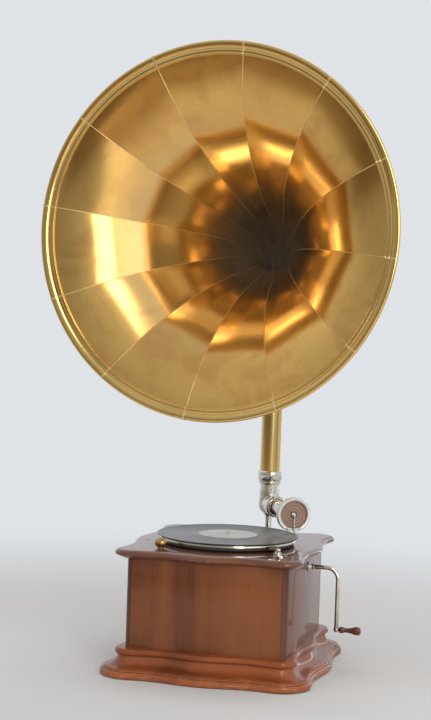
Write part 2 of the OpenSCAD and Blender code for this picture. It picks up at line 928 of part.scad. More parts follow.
module brake_lever()
    color(nickel_c)
        at_brake(brake_z)
            difference() {
                union() {
                    cylinder(r = 7, h = brake_t);
                    translate([-24, -3.5, 0])
                        cube([brake_bar + 24, 7, brake_t]);
                    translate([-22, 0, 0])
                        cylinder(r = 2.4, h = 9);
                    translate([-22, 0, 11])
                        sphere(r = 3.6);
                }
                translate([0, 0, -eps])
                    cylinder(r = 3 + fit, h = brake_t + 2 * eps);
            }

// The pad's face follows the platter's rim
module brake_pad()
    color("Peru")
        difference() {
            at_brake(brake_z + brake_t)
                translate([brake_bar - 12, -3.5, 0])
                    cube([12, 17.5, 5]);
            translate([0, spindle_y, brake_z])
                cylinder(r = platter_r + seat, h = 20, $fn = 128);
        }

// Tone arm: frame with Z along the arm and Y up, a given way out from the column
module along_arm(a)
    translate([column_x, column_y, arm_z])
        rotate([0, 0, arm_turn])
            translate([0, -a, 0])
                rotate([90, 0, 0])
                    children();

// A ball where the neck and the outlet meet, with the air way through all three
module elbow()
    color(nickel_c)
        difference() {
            union() {
                translate([column_x, column_y, arm_z])
                    sphere(r = elbow_ball);
                translate([column_x, column_y, arm_z])
                    cylinder(r = elbow_r, h = neck_top - arm_z);
                translate([column_x, column_y, flange_z])
                    cylinder(r = flange_r, h = flange_t);
                along_arm(0)
                    cylinder(r = outlet_r, h = union_a);
                translate([column_x, column_y, post_top + seat])
                    cylinder(r = post_r + 3, h = elbow_ball / 2);
            }
            translate([column_x, column_y, arm_z])
                sphere(r = duct_r);
            translate([column_x, column_y, arm_z])
                cylinder(r = duct_r - 0.5, h = neck_top - arm_z + eps);
            along_arm(0)
                cylinder(r = outlet_duct, h = union_a + eps);
            translate([column_x, column_y, post_top])
                cylinder(r = pivot_pin_r + fit, h = pivot_pin_h + seat);
        }

// Knurled ring that holds the arm's ball end on the elbow
module union_ring()
    color(nickel_c)
        along_arm(union_a)
            difference() {
                union() {
                    cylinder(r = union_r - 2, h = union_t);
                    translate([0, 0, (union_t - union_band) / 2])
                        cylinder(r = union_r, h = union_band);
                }
                translate([0, 0, -eps])
                    cylinder(r = outlet_duct, h = 3);
                translate([0, 0, 2])
                    cylinder(r = ball_r + seat, h = union_t);
                for (a = [0:30:330])
                    rotate([0, 0, a])
                        translate([union_r + 1, 0, -eps])
                            cylinder(r = 2.2, h = union_t + 2 * eps);
            }

module tone_arm()
    color(nickel_c)
        difference() {
            union() {
                along_arm(joint_a)
                    intersection() {
                        sphere(r = ball_r);
                        translate([-ball_r, -ball_r, -ball_half])
                            cube([2 * ball_r, 2 * ball_r, 2 * ball_half]);
                    }
                along_arm(joint_a)
                    cylinder(r1 = arm_root_r, r2 = arm_r + 1, h = box_a - sleeve_len - 3 - joint_a);
                along_arm(box_a - sleeve_len - 3)
                    cylinder(r = arm_r + 2, h = 2.7);
                along_arm(box_a - sleeve_len - 4)
                    cylinder(r = arm_r, h = sleeve_len + 3);
            }
            along_arm(joint_a - ball_half - eps)
                cylinder(r = arm_bore, h = box_a);
        }

// Sound box
module soundbox_back()
    color(nickel_c)
        along_arm(box_a)
            difference() {
                union() {
                    cylinder(r = box_r - 1.5, h = back_t);
                    translate([0, 0, -sleeve_len])
                        cylinder(r = arm_r + 2.5, h = sleeve_len + 1);
                }
                translate([0, 0, -sleeve_len - eps])
                    cylinder(r = arm_r + fit, h = sleeve_len + eps);
                translate([0, 0, -1])
                    cylinder(r = arm_bore, h = back_t + 2);
                below_chord(back_t);
            }

module below_chord(h)
    translate([-box_r, -2 * box_r - chord_y, -eps])
        cube([2 * box_r, 2 * box_r, h + 2 * eps]);

module soundbox_ring()
    color(nickel_c)
        along_arm(ring_a)
            difference() {
                rotate_extrude($fn = 96)
                    polygon([[ring_in, 0], [box_r - 1, 0], [box_r, 1], [box_r, box_t - 2], [box_r - 2, box_t],
                             [lip_in, box_t], [lip_in, box_t - lip_t], [ring_in, box_t - lip_t]]);
                below_chord(box_t);
            }

module gaskets()
    color("DimGray")
        for (a = [disc_a - gasket_t, disc_a + disc_t])
            along_arm(a)
                difference() {
                    cylinder(r = ring_in - 0.1, h = gasket_t);
                    translate([0, 0, -eps])
                        cylinder(r = lip_in, h = gasket_t + 2 * eps);
                }

module diaphragm()
    color("RosyBrown")
        along_arm(disc_a)
            cylinder(r = ring_in - 0.1, h = disc_t);

// Bar from the needle's socket up to the middle of the diaphragm
module needle_bar()
    color(nickel_c) {
        along_arm(ring_a)
            translate([-13, -chord_y - 2, 0])
                cube([26, 2, bar_a - ring_a + 2]);
        along_arm(bar_a - 1) {
            translate([-1.1, -chord_y, 0])
                cube([2.2, chord_y, 2]);
            cylinder(r = 2, h = 2);
        }
        along_arm(disc_a + disc_t) {
            cylinder(r = 1.3, h = bar_a - disc_a - disc_t);
            cylinder(r = 4, h = 1.2);
        }
    }

module needle()
    color(steel_c)
        along_arm(bar_a) {
            translate([0, -chord_y - 2, 0])
                rotate([90, 0, 0])
                    cylinder(r = 0.9, h = 2);
            translate([0, -chord_y - 4, 0])
                rotate([90, 0, 0])
                    cylinder(r1 = 0.9, r2 = 0.15, h = needle_tip - chord_y - 4);
        }

// Horn: path of the bell's axis from the mouth back to the tail, as an offset from the mouth
axis_r = bell_len / (bell_turn * PI / 180);
function heading_at(s) = mouth_turn + bell_turn * min(s, bell_len) / bell_len;
function pitch_at(s) = mouth_tilt + max(0, s - bell_len) / bend_r * 180 / PI;
function axis_at(s) =
    let (h = heading_at(s), p = pitch_at(s), c = axis_r * cos(mouth_tilt),
         run = bend_r * (sin(p) - sin(mouth_tilt)), drop = bend_r * (cos(mouth_tilt) - cos(p)))
    [c * (cos(h) - cos(mouth_turn)) - run * sin(h), c * (sin(h) - sin(mouth_turn)) + run * cos(h),
     -min(s, bell_len) * sin(mouth_tilt) - drop];
mouth = [column_x, column_y, pipe_top] - axis_at(horn_len);

// Flare: radius at a distance from the mouth, and the distance for a radius
function opening(s) = exp(-pow(s / flare_len, flare_power));
function flare_at(s) = tail_r + (mouth_r - tail_r) * (opening(s) - opening(horn_len)) / (1 - opening(horn_len));
function depth_of(r) =
    let (f = opening(horn_len) + (1 - opening(horn_len)) * (r - tail_r) / (mouth_r - tail_r))
    flare_len * pow(-ln(f), 1 / flare_power);

// Place at a depth, radius and clock angle, from the top and to the right seen from the front
function horn_point(s, r, a) =
    let (h = heading_at(s), p = pitch_at(s),
         up = [-sin(h) * sin(p), cos(h) * sin(p), cos(p)], right = [cos(h), sin(h), 0])
    mouth + axis_at(s) + r * (cos(a) * up + sin(a) * right);

// Unit normal of the flare, as [along the axis, outwards]
function flare_normal(s) =
    let (d = 0.01, slope = (flare_at(s + d) - flare_at(max(s - d, 0))) / (s - d < 0 ? s + d : 2 * d))
    [-slope, 1] / norm([-slope, 1]);

// Share of a panel that is flat across: round at the rim, flat from there on
function flatness(s) = 1 - exp(-s / 30);
panel_a = 360 / panels;
seam_a = 7;
petal_r = mouth_r - rim_band - ridge_r - seat;
petal_s = depth_of(petal_r);
stations = [for (i = [0:petal_steps]) petal_s + (horn_len - petal_s) * pow(i / petal_steps, 1.8)];

function panel_radius(s, b) =
    let (flat = cos(panel_a / 2) / cos(b))
    flare_at(s) * (1 - flatness(s) * (1 - flat));
function petal_point(s, lift, j, k) =
    let (b = (j / petal_cols - 0.5) * (panel_a - petal_gap), n = flare_normal(s),
         deep = min(s + lift * n[0], horn_len))
    horn_point(deep, panel_radius(s, b) + lift * n[1], seam_a + (k + 0.5) * panel_a + b);

// Closed solid on a grid of points with two skins
module skin_solid(points, rows, cols) {
    w = cols + 1;
    skin = (rows + 1) * w;
    grid = [for (i = [0:rows - 1], j = [0:cols - 1])
        let (a = i * w + j, b = a + 1, c = a + w, d = c + 1)
        each [[a, b, c], [b, d, c], [skin + a, skin + c, skin + b], [skin + b, skin + c, skin + d]]];
    sides = [for (i = [0:rows - 1])
        let (a = i * w, c = a + w, b = a + cols, d = b + w)
        each [[a, c, skin + a], [c, skin + c, skin + a], [b, skin + b, d], [d, skin + b, skin + d]]];
    ends = [for (j = [0:cols - 1])
        let (a = j, b = j + 1, c = rows * w + j, d = c + 1)
        each [[a, skin + a, b], [b, skin + a, skin + b], [c, d, skin + c], [d, skin + d, skin + c]]];
    polyhedron(points = points, faces = concat(grid, sides, ends), convexity = 8);
}

module horn_petals()
    color(brass_c)
        for (k = [0:panels - 1])
            skin_solid([for (lift = [0, sheet], s = stations, j = [0:petal_cols])
                            petal_point(s, lift, j, k)], petal_steps, petal_cols);

// Folded seams that stand on the outside along each joint
function seam_point(s, lift, side, k) =
    let (n = flare_normal(s), deep = min(s + lift * n[0], horn_len), r = flare_at(s) + lift * n[1])
    horn_point(deep, r, seam_a + k * panel_a + side * seam_w / 2 / r * 180 / PI);

module horn_seams()
    color(brass_c)
        for (k = [0:panels - 1])
            skin_solid([for (lift = [sheet + 0.15, sheet + seam_h], s = stations, side = [-1, 1])
                            seam_point(s, lift, side, k)], petal_steps, 1);

// Rolled rim with an inner ridge
module horn_rim()
    color(brass_c)
        translate(mouth)
            rotate([90 - mouth_tilt, 0, mouth_turn]) {
                rotate_extrude($fn = 128)
                    translate([mouth_r - rim_tube, 0])
                        circle(r = rim_tube);
                rotate_extrude($fn = 128)
                    translate([mouth_r - rim_band, -petal_s])
                        circle(r = ridge_r);
                difference() {
                    translate([0, 0, -petal_s])
                        cylinder(r = mouth_r - rim_tube, h = 1.2, $fn = 128);
                    translate([0, 0, -petal_s - eps])
                        cylinder(r = mouth_r - rim_band, h = 1.2 + 2 * eps, $fn = 128);
                }
            }

module horn_pipe()
    color(brass_c)
        translate([column_x, column_y, pipe_z])
            difference() {
                union() {
                    cylinder(r = pipe_r, h = pipe_len);
                    translate([0, 0, pipe_len - ferrule_h])
                        cylinder(r = ferrule_r, h = ferrule_h);
                }
                translate([0, 0, -eps])
                    cylinder(r = pipe_r - pipe_wall, h = pipe_len + 2 * eps);
            }

module horn_collar()
    color(nickel_c)
        translate([column_x, column_y, collar_z])
            rotate_extrude()
                polygon([[elbow_r + fit, 0], [collar_r - 3, 0], [collar_r - 0.6, 3], [collar_r, 7],
                         [collar_r, collar_h - 3], [collar_r - 2, collar_h], [pipe_r, collar_h],
                         [pipe_r, collar_step], [elbow_r + fit, collar_step]]);

module collar_screw()
    color(nickel_c)
        translate([column_x, column_y, collar_z + collar_h - 8])
            rotate([90, 0, 15])
                translate([0, 0, collar_r]) {
                    cylinder(r = 1.6, h = 2);
                    translate([0, 0, 1.5])
                        cylinder(r = 3.2, h = 3);
                }

base_slab();
base_cove();
base_bead();
front_panel();
rear_panel();
left_panel();
right_panel();
corner_columns();
lid_board();
crank_escutcheon();
bracket_plate();
bracket_post();
motor_top_plate();
motor_bottom_plate();
motor_pillars();
crank_bearing();
governor_bracket();
crank_rod();
winding_pinion();
crank_grip();
barrel_arbor();
crown_wheel();
spring_barrel();
barrel_cover();
great_wheel();
main_spring();
middle_arbor();
middle_wheel();
turntable_spindle();
worm_wheel();
platter();
felt_mat();
record();
governor_shaft();
governor_weights();
governor_springs();
governor_disc();
speed_knob();
speed_lever();
brake_plate();
brake_lever();
brake_pad();
elbow();
union_ring();
tone_arm();
soundbox_back();
soundbox_ring();
gaskets();
diaphragm();
needle_bar();
needle();
horn_collar();
collar_screw();
horn_pipe();
horn_petals();
horn_seams();
horn_rim();
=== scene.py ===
"""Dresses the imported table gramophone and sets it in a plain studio.

Sizes in the classes are millimetres in the part's own frame: +Z is up, the horn
faces -Y and the crank is on the +X side. A mesh becomes metres when it becomes a piece.
"""

from __future__ import annotations

import json
import logging
import math
from dataclasses import dataclass
from enum import Enum
from typing import Any, Callable, Sequence, Union

import bmesh
import bpy
from mathutils import Matrix, Vector

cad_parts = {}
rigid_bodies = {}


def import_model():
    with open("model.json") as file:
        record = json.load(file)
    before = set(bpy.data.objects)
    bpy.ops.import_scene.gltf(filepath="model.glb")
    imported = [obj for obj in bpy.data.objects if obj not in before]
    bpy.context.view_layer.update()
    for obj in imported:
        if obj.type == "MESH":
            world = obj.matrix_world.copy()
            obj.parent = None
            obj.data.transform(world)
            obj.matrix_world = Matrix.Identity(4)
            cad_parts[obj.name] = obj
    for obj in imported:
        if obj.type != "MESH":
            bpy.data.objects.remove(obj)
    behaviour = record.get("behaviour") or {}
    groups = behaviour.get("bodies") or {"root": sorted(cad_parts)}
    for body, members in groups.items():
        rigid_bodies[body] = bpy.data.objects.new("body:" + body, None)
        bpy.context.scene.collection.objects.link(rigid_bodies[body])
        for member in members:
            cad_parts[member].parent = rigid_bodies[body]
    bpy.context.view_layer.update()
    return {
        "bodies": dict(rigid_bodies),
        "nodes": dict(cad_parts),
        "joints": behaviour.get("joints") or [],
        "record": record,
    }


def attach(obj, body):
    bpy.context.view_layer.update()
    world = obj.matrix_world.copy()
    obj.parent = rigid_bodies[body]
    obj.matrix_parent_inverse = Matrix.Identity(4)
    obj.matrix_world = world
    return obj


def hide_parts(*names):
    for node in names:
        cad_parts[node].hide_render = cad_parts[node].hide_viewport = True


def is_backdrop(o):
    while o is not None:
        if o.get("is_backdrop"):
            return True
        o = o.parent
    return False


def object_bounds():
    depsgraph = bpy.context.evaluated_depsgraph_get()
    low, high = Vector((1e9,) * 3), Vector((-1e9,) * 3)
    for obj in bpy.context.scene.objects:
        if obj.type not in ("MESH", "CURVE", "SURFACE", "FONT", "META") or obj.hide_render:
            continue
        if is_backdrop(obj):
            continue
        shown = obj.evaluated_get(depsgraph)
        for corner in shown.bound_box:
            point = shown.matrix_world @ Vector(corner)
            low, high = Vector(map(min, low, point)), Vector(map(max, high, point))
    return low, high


LOG = logging.getLogger("gramophone")
MM = 0.001
WELD = 1e-4
FULL_TURN = 360.0
MIX_SHARE, MIX_FIRST, MIX_SECOND, MIX_RESULT = 0, 6, 7, 2

Colour = tuple[float, float, float]
Profile = Sequence[tuple[float, float]]
Ring = Sequence[Vector]
Levels = tuple[tuple[float, float], ...]


class Grain(Enum):
    """Way that the wood's grain runs."""

    ACROSS = "x"
    UPRIGHT = "z"
    ROUND = "uv"


class Sock:
    """One value of a shader graph. Arithmetic on it adds Math nodes."""

    def __init__(self, graph: "Graph", socket: bpy.types.NodeSocket | None) -> None:
        """Wraps an output socket, or none for a node that ends a graph."""
        self.graph = graph
        self.socket = socket

    def __add__(self, other: "Value") -> "Sock":
        """Sum."""
        return self.graph.math("ADD", self, other)

    __radd__ = __add__

    def __sub__(self, other: "Value") -> "Sock":
        """Difference."""
        return self.graph.math("SUBTRACT", self, other)

    def __rsub__(self, other: "Value") -> "Sock":
        """Difference the other way round."""
        return self.graph.math("SUBTRACT", other, self)

    def __mul__(self, other: "Value") -> "Sock":
        """Product."""
        return self.graph.math("MULTIPLY", self, other)

    def __abs__(self) -> "Sock":
        """Size without sign."""
        return self.graph.math("ABSOLUTE", self)

    def step(self, low: float, high: float) -> "Sock":
        """Smooth rise from 0 at low to 1 at high.

        Args:
            low: Value that gives 0.
            high: Value that gives 1. It may be the lower one.

        Returns:
            The share between the two.
        """
        settings = {"interpolation_type": "SMOOTHSTEP", "clamp": True}
        inputs: dict[str, Any] = {"Value": self, "From Min": low, "From Max": high}
        if low > high:
            inputs |= {"From Min": high, "From Max": low, "To Min": 1.0, "To Max": 0.0}
        return self.graph.node("ShaderNodeMapRange", settings, inputs, "Result")


Value = Union[Sock, float]


class Graph:
    """Node graph of a material or of the world."""

    def __init__(self, owner: bpy.types.ID) -> None:
        """Empties the owner's graph.

        Args:
            owner: Material or world.
        """
        owner.use_nodes = True
        self.owner = owner
        self.tree = owner.node_tree
        self.tree.nodes.clear()

    def node(
        self,
        kind: str,
        settings: dict[str, Any] | None = None,
        inputs: dict[Any, Any] | None = None,
        output: Any = 0,
    ) -> Sock:
        """Adds a node.

        Args:
            kind: Node type.
            settings: Properties, set first; "stops" fills a colour ramp.
            inputs: Values or links of the input sockets, by name or place.
            output: Output socket to hand back, by name or place.

        Returns:
            The chosen output.
        """
        node = self.tree.nodes.new(kind)
        for key, value in (settings or {}).items():
            if key == "stops":
                ramp = node.color_ramp
                while len(ramp.elements) < len(value):
                    ramp.elements.new(1.0)
                for element, (place, colour) in zip(ramp.elements, value):
                    element.position = place
                    element.color = (*colour, 1.0)
            else:
                setattr(node, key, value)
        for key, value in (inputs or {}).items():
            self.feed(node.inputs[key], value)
        return Sock(self, node.outputs[output] if node.outputs else None)

    def feed(self, socket: bpy.types.NodeSocket, value: Any) -> None:
        """Links a value into a socket, or sets it there.

        Args:
            socket: Input socket.
            value: Link, colour or number.
        """
        if isinstance(value, Sock):
            self.tree.links.new(value.socket, socket)
        elif socket.type == "RGBA" and len(value) == 3:
            socket.default_value = (*value, 1.0)
        else:
            socket.default_value = value

    def math(self, operation: str, *values: Value) -> Sock:
        """One Math node."""
        return self.node("ShaderNodeMath", {"operation": operation}, dict(enumerate(values)))

    def mix(self, share: Value, first: Any, second: Any) -> Sock:
        """Mixes two colours.

        Args:
            share: Share of the second.
            first: Colour or link.
            second: Colour or link.

        Returns:
            The mixed colour.
        """
        inputs = {MIX_SHARE: share, MIX_FIRST: first, MIX_SECOND: second}
        return self.node("ShaderNodeMix", {"data_type": "RGBA"}, inputs, MIX_RESULT)

    def place(self) -> Sock:
        """Object coordinates, in metres in the part's frame."""
        return self.node("ShaderNodeTexCoord", output="Object")

    def uv(self) -> Sock:
        """The piece's own surface coordinates."""
        return self.node("ShaderNodeTexCoord", output="UV")

    def axes(self, vector: Sock) -> tuple[Sock, Sock, Sock]:
        """Splits a vector.

        Args:
            vector: The vector.

        Returns:
            Its three numbers.
        """
        split = self.node("ShaderNodeSeparateXYZ", None, {0: vector}, "X")
        outputs = split.socket.node.outputs
        return split, Sock(self, outputs["Y"]), Sock(self, outputs["Z"])

    def scaled(self, vector: Sock, scale: Sequence[float]) -> Sock:
        """A vector stretched by three numbers."""
        return self.node("ShaderNodeVectorMath", {"operation": "MULTIPLY"}, {0: vector, 1: scale})

    def centred(self, vector: Sock, centre: Sequence[float]) -> Sock:
        """A vector from a centre in millimetres."""
        inputs = {0: vector, 1: [c * MM for c in centre]}
        return self.node("ShaderNodeVectorMath", {"operation": "SUBTRACT"}, inputs)

    def length(self, vector: Sock) -> Sock:
        """Length of a vector."""
        return self.node("ShaderNodeVectorMath", {"operation": "LENGTH"}, {0: vector}, "Value")

    def noise(self, vector: Sock, scale: float, detail: float = 3.0, warp: float = 0.0) -> Sock:
        """Smooth noise.

        Args:
            vector: Where to read it.
            scale: Waves per unit.
            detail: Octaves.
            warp: Distortion.

        Returns:
            A value about 0.5.
        """
        inputs = {"Vector": vector, "Scale": scale, "Detail": detail, "Distortion": warp}
        return self.node("ShaderNodeTexNoise", None, inputs, 0)

    def ramp(self, value: Value, stops: Sequence[tuple[float, Colour]]) -> Sock:
        """A colour from a value."""
        return self.node("ShaderNodeValToRGB", {"stops": stops}, {"Fac": value}, "Color")

    def bump(self, height: Sock, strength: float, depth: float, under: Sock | None = None) -> Sock:
        """A normal from a height.

        Args:
            height: Height pattern.
            strength: Share of the effect.
            depth: Height of a full step, in metres.
            under: Normal that it adds to.

        Returns:
            The bent normal.
        """
        inputs: dict[str, Any] = {"Height": height, "Strength": strength, "Distance": depth}
        if under is not None:
            inputs["Normal"] = under
        return self.node("ShaderNodeBump", None, inputs, "Normal")

    def surface(self, inputs: dict[str, Any]) -> bpy.types.Material:
        """Ends the graph in a shader.

        Args:
            inputs: Values and links of the shader's sockets.

        Returns:
            The finished material.
        """
        shader = self.node("ShaderNodeBsdfPrincipled", None, inputs)
        self.node("ShaderNodeOutputMaterial", None, {"Surface": shader})
        return self.owner


@dataclass(frozen=True)
class Wood:
    """Polished wood with bands, grain and pores under varnish, worn lines and lines of painted
    shade.
    """

    name: str
    dark: Colour
    middle: Colour
    light: Colour
    grain: Grain = Grain.UPRIGHT
    gloss: float = 0.75
    polish: float = 0.035
    bare: Colour = (0.4, 0.25, 0.15)
    # Colour of the painted shade along joints and creases.
    painted_shade: Colour = (0.02, 0.009, 0.006)
    worn: Levels = ()
    # Heights and half widths of the painted shade lines, in millimetres.
    painted_shade_levels: Levels = ()

    def along(self, graph: Graph, across: float, down: float) -> Sock:
        """Coordinates stretched along the grain.

        Args:
            graph: Graph that it adds to.
            across: Scale across the grain.
            down: Scale along the grain.

        Returns:
            The stretched coordinates.
        """
        if self.grain is Grain.ROUND:
            return graph.scaled(graph.uv(), (down, across, 1.0))
        stretch = (down, across, across) if self.grain is Grain.ACROSS else (across, across, down)
        return graph.scaled(graph.place(), stretch)

    @staticmethod
    def lines(graph: Graph, levels: Levels) -> Sock:
        """Thin level lines.

        Args:
            graph: Graph that it adds to.
            levels: Heights and half widths, in millimetres.

        Returns:
            Share of a line at each place.
        """
        height = graph.axes(graph.place())[2]
        marks = [abs(height - z * MM).step(half * MM, 0.3 * half * MM) for z, half in levels]
        share = marks[0]
        for mark in marks[1:]:
            share = share + mark
        return share

    def make(self) -> bpy.types.Material:
        """Builds the material.

        Returns:
            The material.
        """
        graph = Graph(bpy.data.materials.new(self.name))
        bands = graph.noise(self.along(graph, 16.0, 0.8), 1.0, 2.0, 0.4)
        streaks = graph.noise(self.along(graph, 150.0, 3.0), 1.0, 4.0, 0.6)
        pores = graph.noise(self.along(graph, 1500.0, 40.0), 1.0, 2.0)
        cloud = graph.noise(graph.place(), 7.0, 3.0)
        tone = bands * 0.45 + streaks * 0.15 + cloud * 0.4
        colour = graph.ramp(tone, [(0.36, self.dark), (0.5, self.middle), (0.62, self.light)])
        pore = pores.step(0.4, 0.32)
        colour = graph.mix(pore * 0.4, colour, self.dark)
        rough = 0.36 + (cloud - 0.5) * 0.2 + pore * 0.1
        # Darker lines at the given heights, along joints and creases: painted shade, broken up by
        # the clouds.
        if self.painted_shade_levels:
            painted_shade_share = self.lines(graph, self.painted_shade_levels) * (0.4 + cloud)
            colour = graph.mix(painted_shade_share, colour, self.painted_shade)
        if self.worn:
            flakes = graph.noise(graph.place(), 90.0, 5.0).step(0.5, 0.64)
            chips = self.lines(graph, self.worn) * flakes
            colour = graph.mix(chips * 0.6, colour, self.bare)
            rough = rough + chips * 0.25
        ripple = graph.noise(self.along(graph, 45.0, 6.0), 1.0, 2.0)
        normal = graph.bump(ripple, 0.05, 0.0008)
        normal = graph.bump(pores, 0.02, 0.0002, normal)
        return graph.surface(
            {
                "Base Color": colour,
                "Roughness": rough,
                "Coat Weight": self.gloss,
                "Coat Roughness": self.polish,
                "Coat IOR": 1.5,
                "Specular IOR Level": 0.1,
                "Normal": normal,
            }
        )


@dataclass(frozen=True)
class Metal:
    """Plated or polished metal with clouds of tarnish and fine wear."""

    name: str
    bright: Colour
    dull: Colour
    shine: float
    clouding: float
    cloud_scale: float
    dents: float = 0.0
    grit: float = 0.04
    metal: float = 1.0
    spread: float = 0.12

    def make(self) -> bpy.types.Material:
        """Builds the material.

        Returns:
            The material.
        """
        graph = Graph(bpy.data.materials.new(self.name))
        place = graph.place()
        cloud = graph.noise(place, self.cloud_scale, 4.0, 0.3).step(0.38, 0.72)
        spots = graph.noise(place, self.cloud_scale * 14.0, 3.0).step(0.62, 0.74)
        wear = graph.noise(place, 420.0, 2.0)
        stain = cloud * self.clouding + spots * self.clouding * 0.6
        colour = graph.mix(stain, self.bright, self.dull)
        rough = self.shine + (cloud + spots + (wear - 0.5) * 0.8) * self.spread
        normal = graph.bump(wear, self.grit, 0.0003)
        if self.dents:
            normal = graph.bump(graph.noise(place, 26.0, 1.0), self.dents, 0.004, normal)
        return graph.surface(
            {"Base Color": colour, "Metallic": self.metal, "Roughness": rough, "Normal": normal}
        )


@dataclass(frozen=True)
class HornBrass:
    """Brass sheet of the bell, with tarnish that deepens towards the throat and painted light that
    grows paler with depth, inside only.
    """

    name: str
    bright: Colour = (0.86, 0.52, 0.155)
    dull: Colour = (0.64, 0.36, 0.1)
    warm: Colour = (0.72, 0.38, 0.12)
    # Paler brass deeper inside: painted light that lifts the shade deep in the bell.
    inner: Colour = (0.87, 0.64, 0.32)
    # Tarnish colour of the throat: partly patina, partly painted light that lifts the shade there.
    throat: Colour = (0.6, 0.47, 0.34)

    def make(self) -> bpy.types.Material:
        """Builds the material from the panel and depth in the surface coordinates.

        Returns:
            The material.
        """
        graph = Graph(bpy.data.materials.new(self.name))
        place = graph.place()
        across, depth, _ = graph.axes(graph.uv())
        panel = graph.math("FLOOR", across)
        tint = graph.node("ShaderNodeTexWhiteNoise", {"noise_dimensions": "1D"}, {"W": panel}, 0)
        cloud = graph.noise(place, 6.0, 5.0, 0.5)
        mottle = graph.noise(place, 30.0, 4.0, 0.4).step(0.5, 0.78)
        brush = graph.noise(graph.scaled(graph.uv(), (3.0, 260.0, 1.0)), 1.0, 3.0)
        wear = graph.noise(place, 260.0, 2.0)
        stain = cloud.step(0.35, 0.75) * 0.45 + mottle * 0.35 + (tint - 0.5) * 0.35
        stain = stain + (brush - 0.5) * 0.5
        colour = graph.mix(stain, self.bright, self.dull)
        patches = graph.noise(place, 16.0, 5.0, 0.9).step(0.46, 0.66)
        colour = graph.mix(patches * 0.7, colour, self.warm)
        # Paler with depth inside: painted light.
        colour = graph.mix(depth.step(0.06, 0.26) * 0.85, colour, self.inner)
        # Tarnish towards the throat, in a colour that is partly patina and partly painted light.
        tarnish = depth.step(0.3, 0.8)
        colour = graph.mix(tarnish, colour, self.throat)
        rough = 0.13 + cloud * 0.05 + mottle * 0.04 + (brush - 0.5) * 0.03 + tarnish * 0.02
        normal = graph.bump(graph.noise(place, 10.0, 1.0), 0.09, 0.004)
        normal = graph.bump(brush + wear * 0.5, 0.015, 0.0004, normal)
        metal = 1.0 - tarnish * 0.2
        return graph.surface(
            {"Base Color": colour, "Metallic": metal, "Roughness": rough, "Normal": normal}
        )


@dataclass(frozen=True)
class Grooved:
    """Pressed shellac with fine grooves about the spindle and a plain pale label."""

    name: str
    centre: tuple[float, float, float]
    body: Colour = (0.05, 0.05, 0.052)
    dusty: Colour = (0.2, 0.19, 0.175)
    banded: Colour = (0.1, 0.1, 0.1)
    paper: Colour = (0.5, 0.5, 0.48)
    soiled: Colour = (0.2, 0.195, 0.19)
    label_r: float = 51.5
    line_r: float = 36.0
    groove_in: float = 57.0
    groove_out: float = 121.0
    pitch: float = 1.15

    def make(self) -> bpy.types.Material:
        """Builds the material on the distance from the spindle.

        Returns:
            The material.
        """
        graph = Graph(bpy.data.materials.new(self.name))
        flat = graph.scaled(graph.centred(graph.place(), self.centre), (1.0, 1.0, 0.0))
        radius = graph.length(flat)
        wave = graph.math("SINE", radius * (2.0 * math.pi / (self.pitch * MM)))
        cut = radius.step(self.groove_in * MM, (self.groove_in + 1.0) * MM)
        cut = cut * radius.step(self.groove_out * MM, (self.groove_out - 1.0) * MM)
        bands = graph.noise(radius * 210.0, 1.0, 3.0)
        dust = graph.noise(graph.place(), 16.0, 5.0, 0.4).step(0.42, 0.75)
        colour = graph.mix(dust * 0.12 + cut * 0.2, self.body, self.dusty)
        colour = graph.mix(cut * bands * 0.2, colour, self.banded)
        label = radius.step((self.label_r + 0.25) * MM, (self.label_r - 0.25) * MM)
        line = abs(radius - self.line_r * MM).step(1.6 * MM, 0.9 * MM)
        paper = graph.mix(dust * 0.35 + line * 0.25, self.paper, self.soiled)
        colour = graph.mix(label, colour, paper)
        rough = 0.17 + cut * 0.05 + dust * 0.04 + label * 0.2
        normal = graph.bump(wave * cut, 0.45, 0.0002)
        return graph.surface(
            {"Base Color": colour, "Roughness": rough, "Normal": normal, "Specular IOR Level": 0.6}
        )


@dataclass(frozen=True)
class Plain:
    """Matt or soft stuff with a mottle and a fine bump."""

    name: str
    colour: Colour
    fleck: Colour
    rough: float
    scale: float
    relief: float
    sheen: float = 0.0

    def make(self) -> bpy.types.Material:
        """Builds the material.

        Returns:
            The material.
        """
        graph = Graph(bpy.data.materials.new(self.name))
        place = graph.place()
        fine = graph.noise(place, self.scale, 4.0)
        broad = graph.noise(place, self.scale / 12.0, 3.0)
        colour = graph.mix(fine * 0.6 + broad * 0.4, self.colour, self.fleck)
        return graph.surface(
            {
                "Base Color": colour,
                "Roughness": self.rough + (fine - 0.5) * 0.2,
                "Normal": graph.bump(fine, self.relief, 0.0006),
                "Sheen Weight": self.sheen,
            }
        )


@dataclass(frozen=True)
class Rings:
    """Thin disc with tonal rings about its middle."""

    name: str
    centre: tuple[float, float, float]
    colour: Colour = (0.3, 0.19, 0.14)
    ring: Colour = (0.235, 0.13, 0.09)
    pitch: float = 5.2

    def make(self) -> bpy.types.Material:
        """Builds the material on the distance from the middle.

        Returns:
            The material.
        """
        graph = Graph(bpy.data.materials.new(self.name))
        place = graph.place()
        radius = graph.length(graph.centred(place, self.centre))
        wave = graph.math("SINE", radius * (2.0 * math.pi / (self.pitch * MM)))
        mottle = graph.noise(place, 220.0, 4.0)
        share = wave.step(-0.2, 1.0) * 0.6 + (mottle - 0.4) * 0.6
        colour = graph.mix(share, self.colour, self.ring)
        return graph.surface(
            {
                "Base Color": colour,
                "Roughness": 0.45 + (mottle - 0.5) * 0.3,
                "Normal": graph.bump(mottle, 0.15, 0.0003),
            }
        )


Finish = Union[Wood, Metal, HornBrass, Grooved, Plain, Rings]


class Paints:
    """The finishes of the object, each made once."""

    def __init__(self) -> None:
        """Starts with none made."""
        self.made: dict[str, bpy.types.Material] = {}

    def get(self, finish: Finish) -> bpy.types.Material:
        """Gives a finish's material.

        Args:
            finish: The finish.

        Returns:
            Its material.
        """
        if finish.name not in self.made:
            self.made[finish.name] = finish.make()
        return self.made[finish.name]


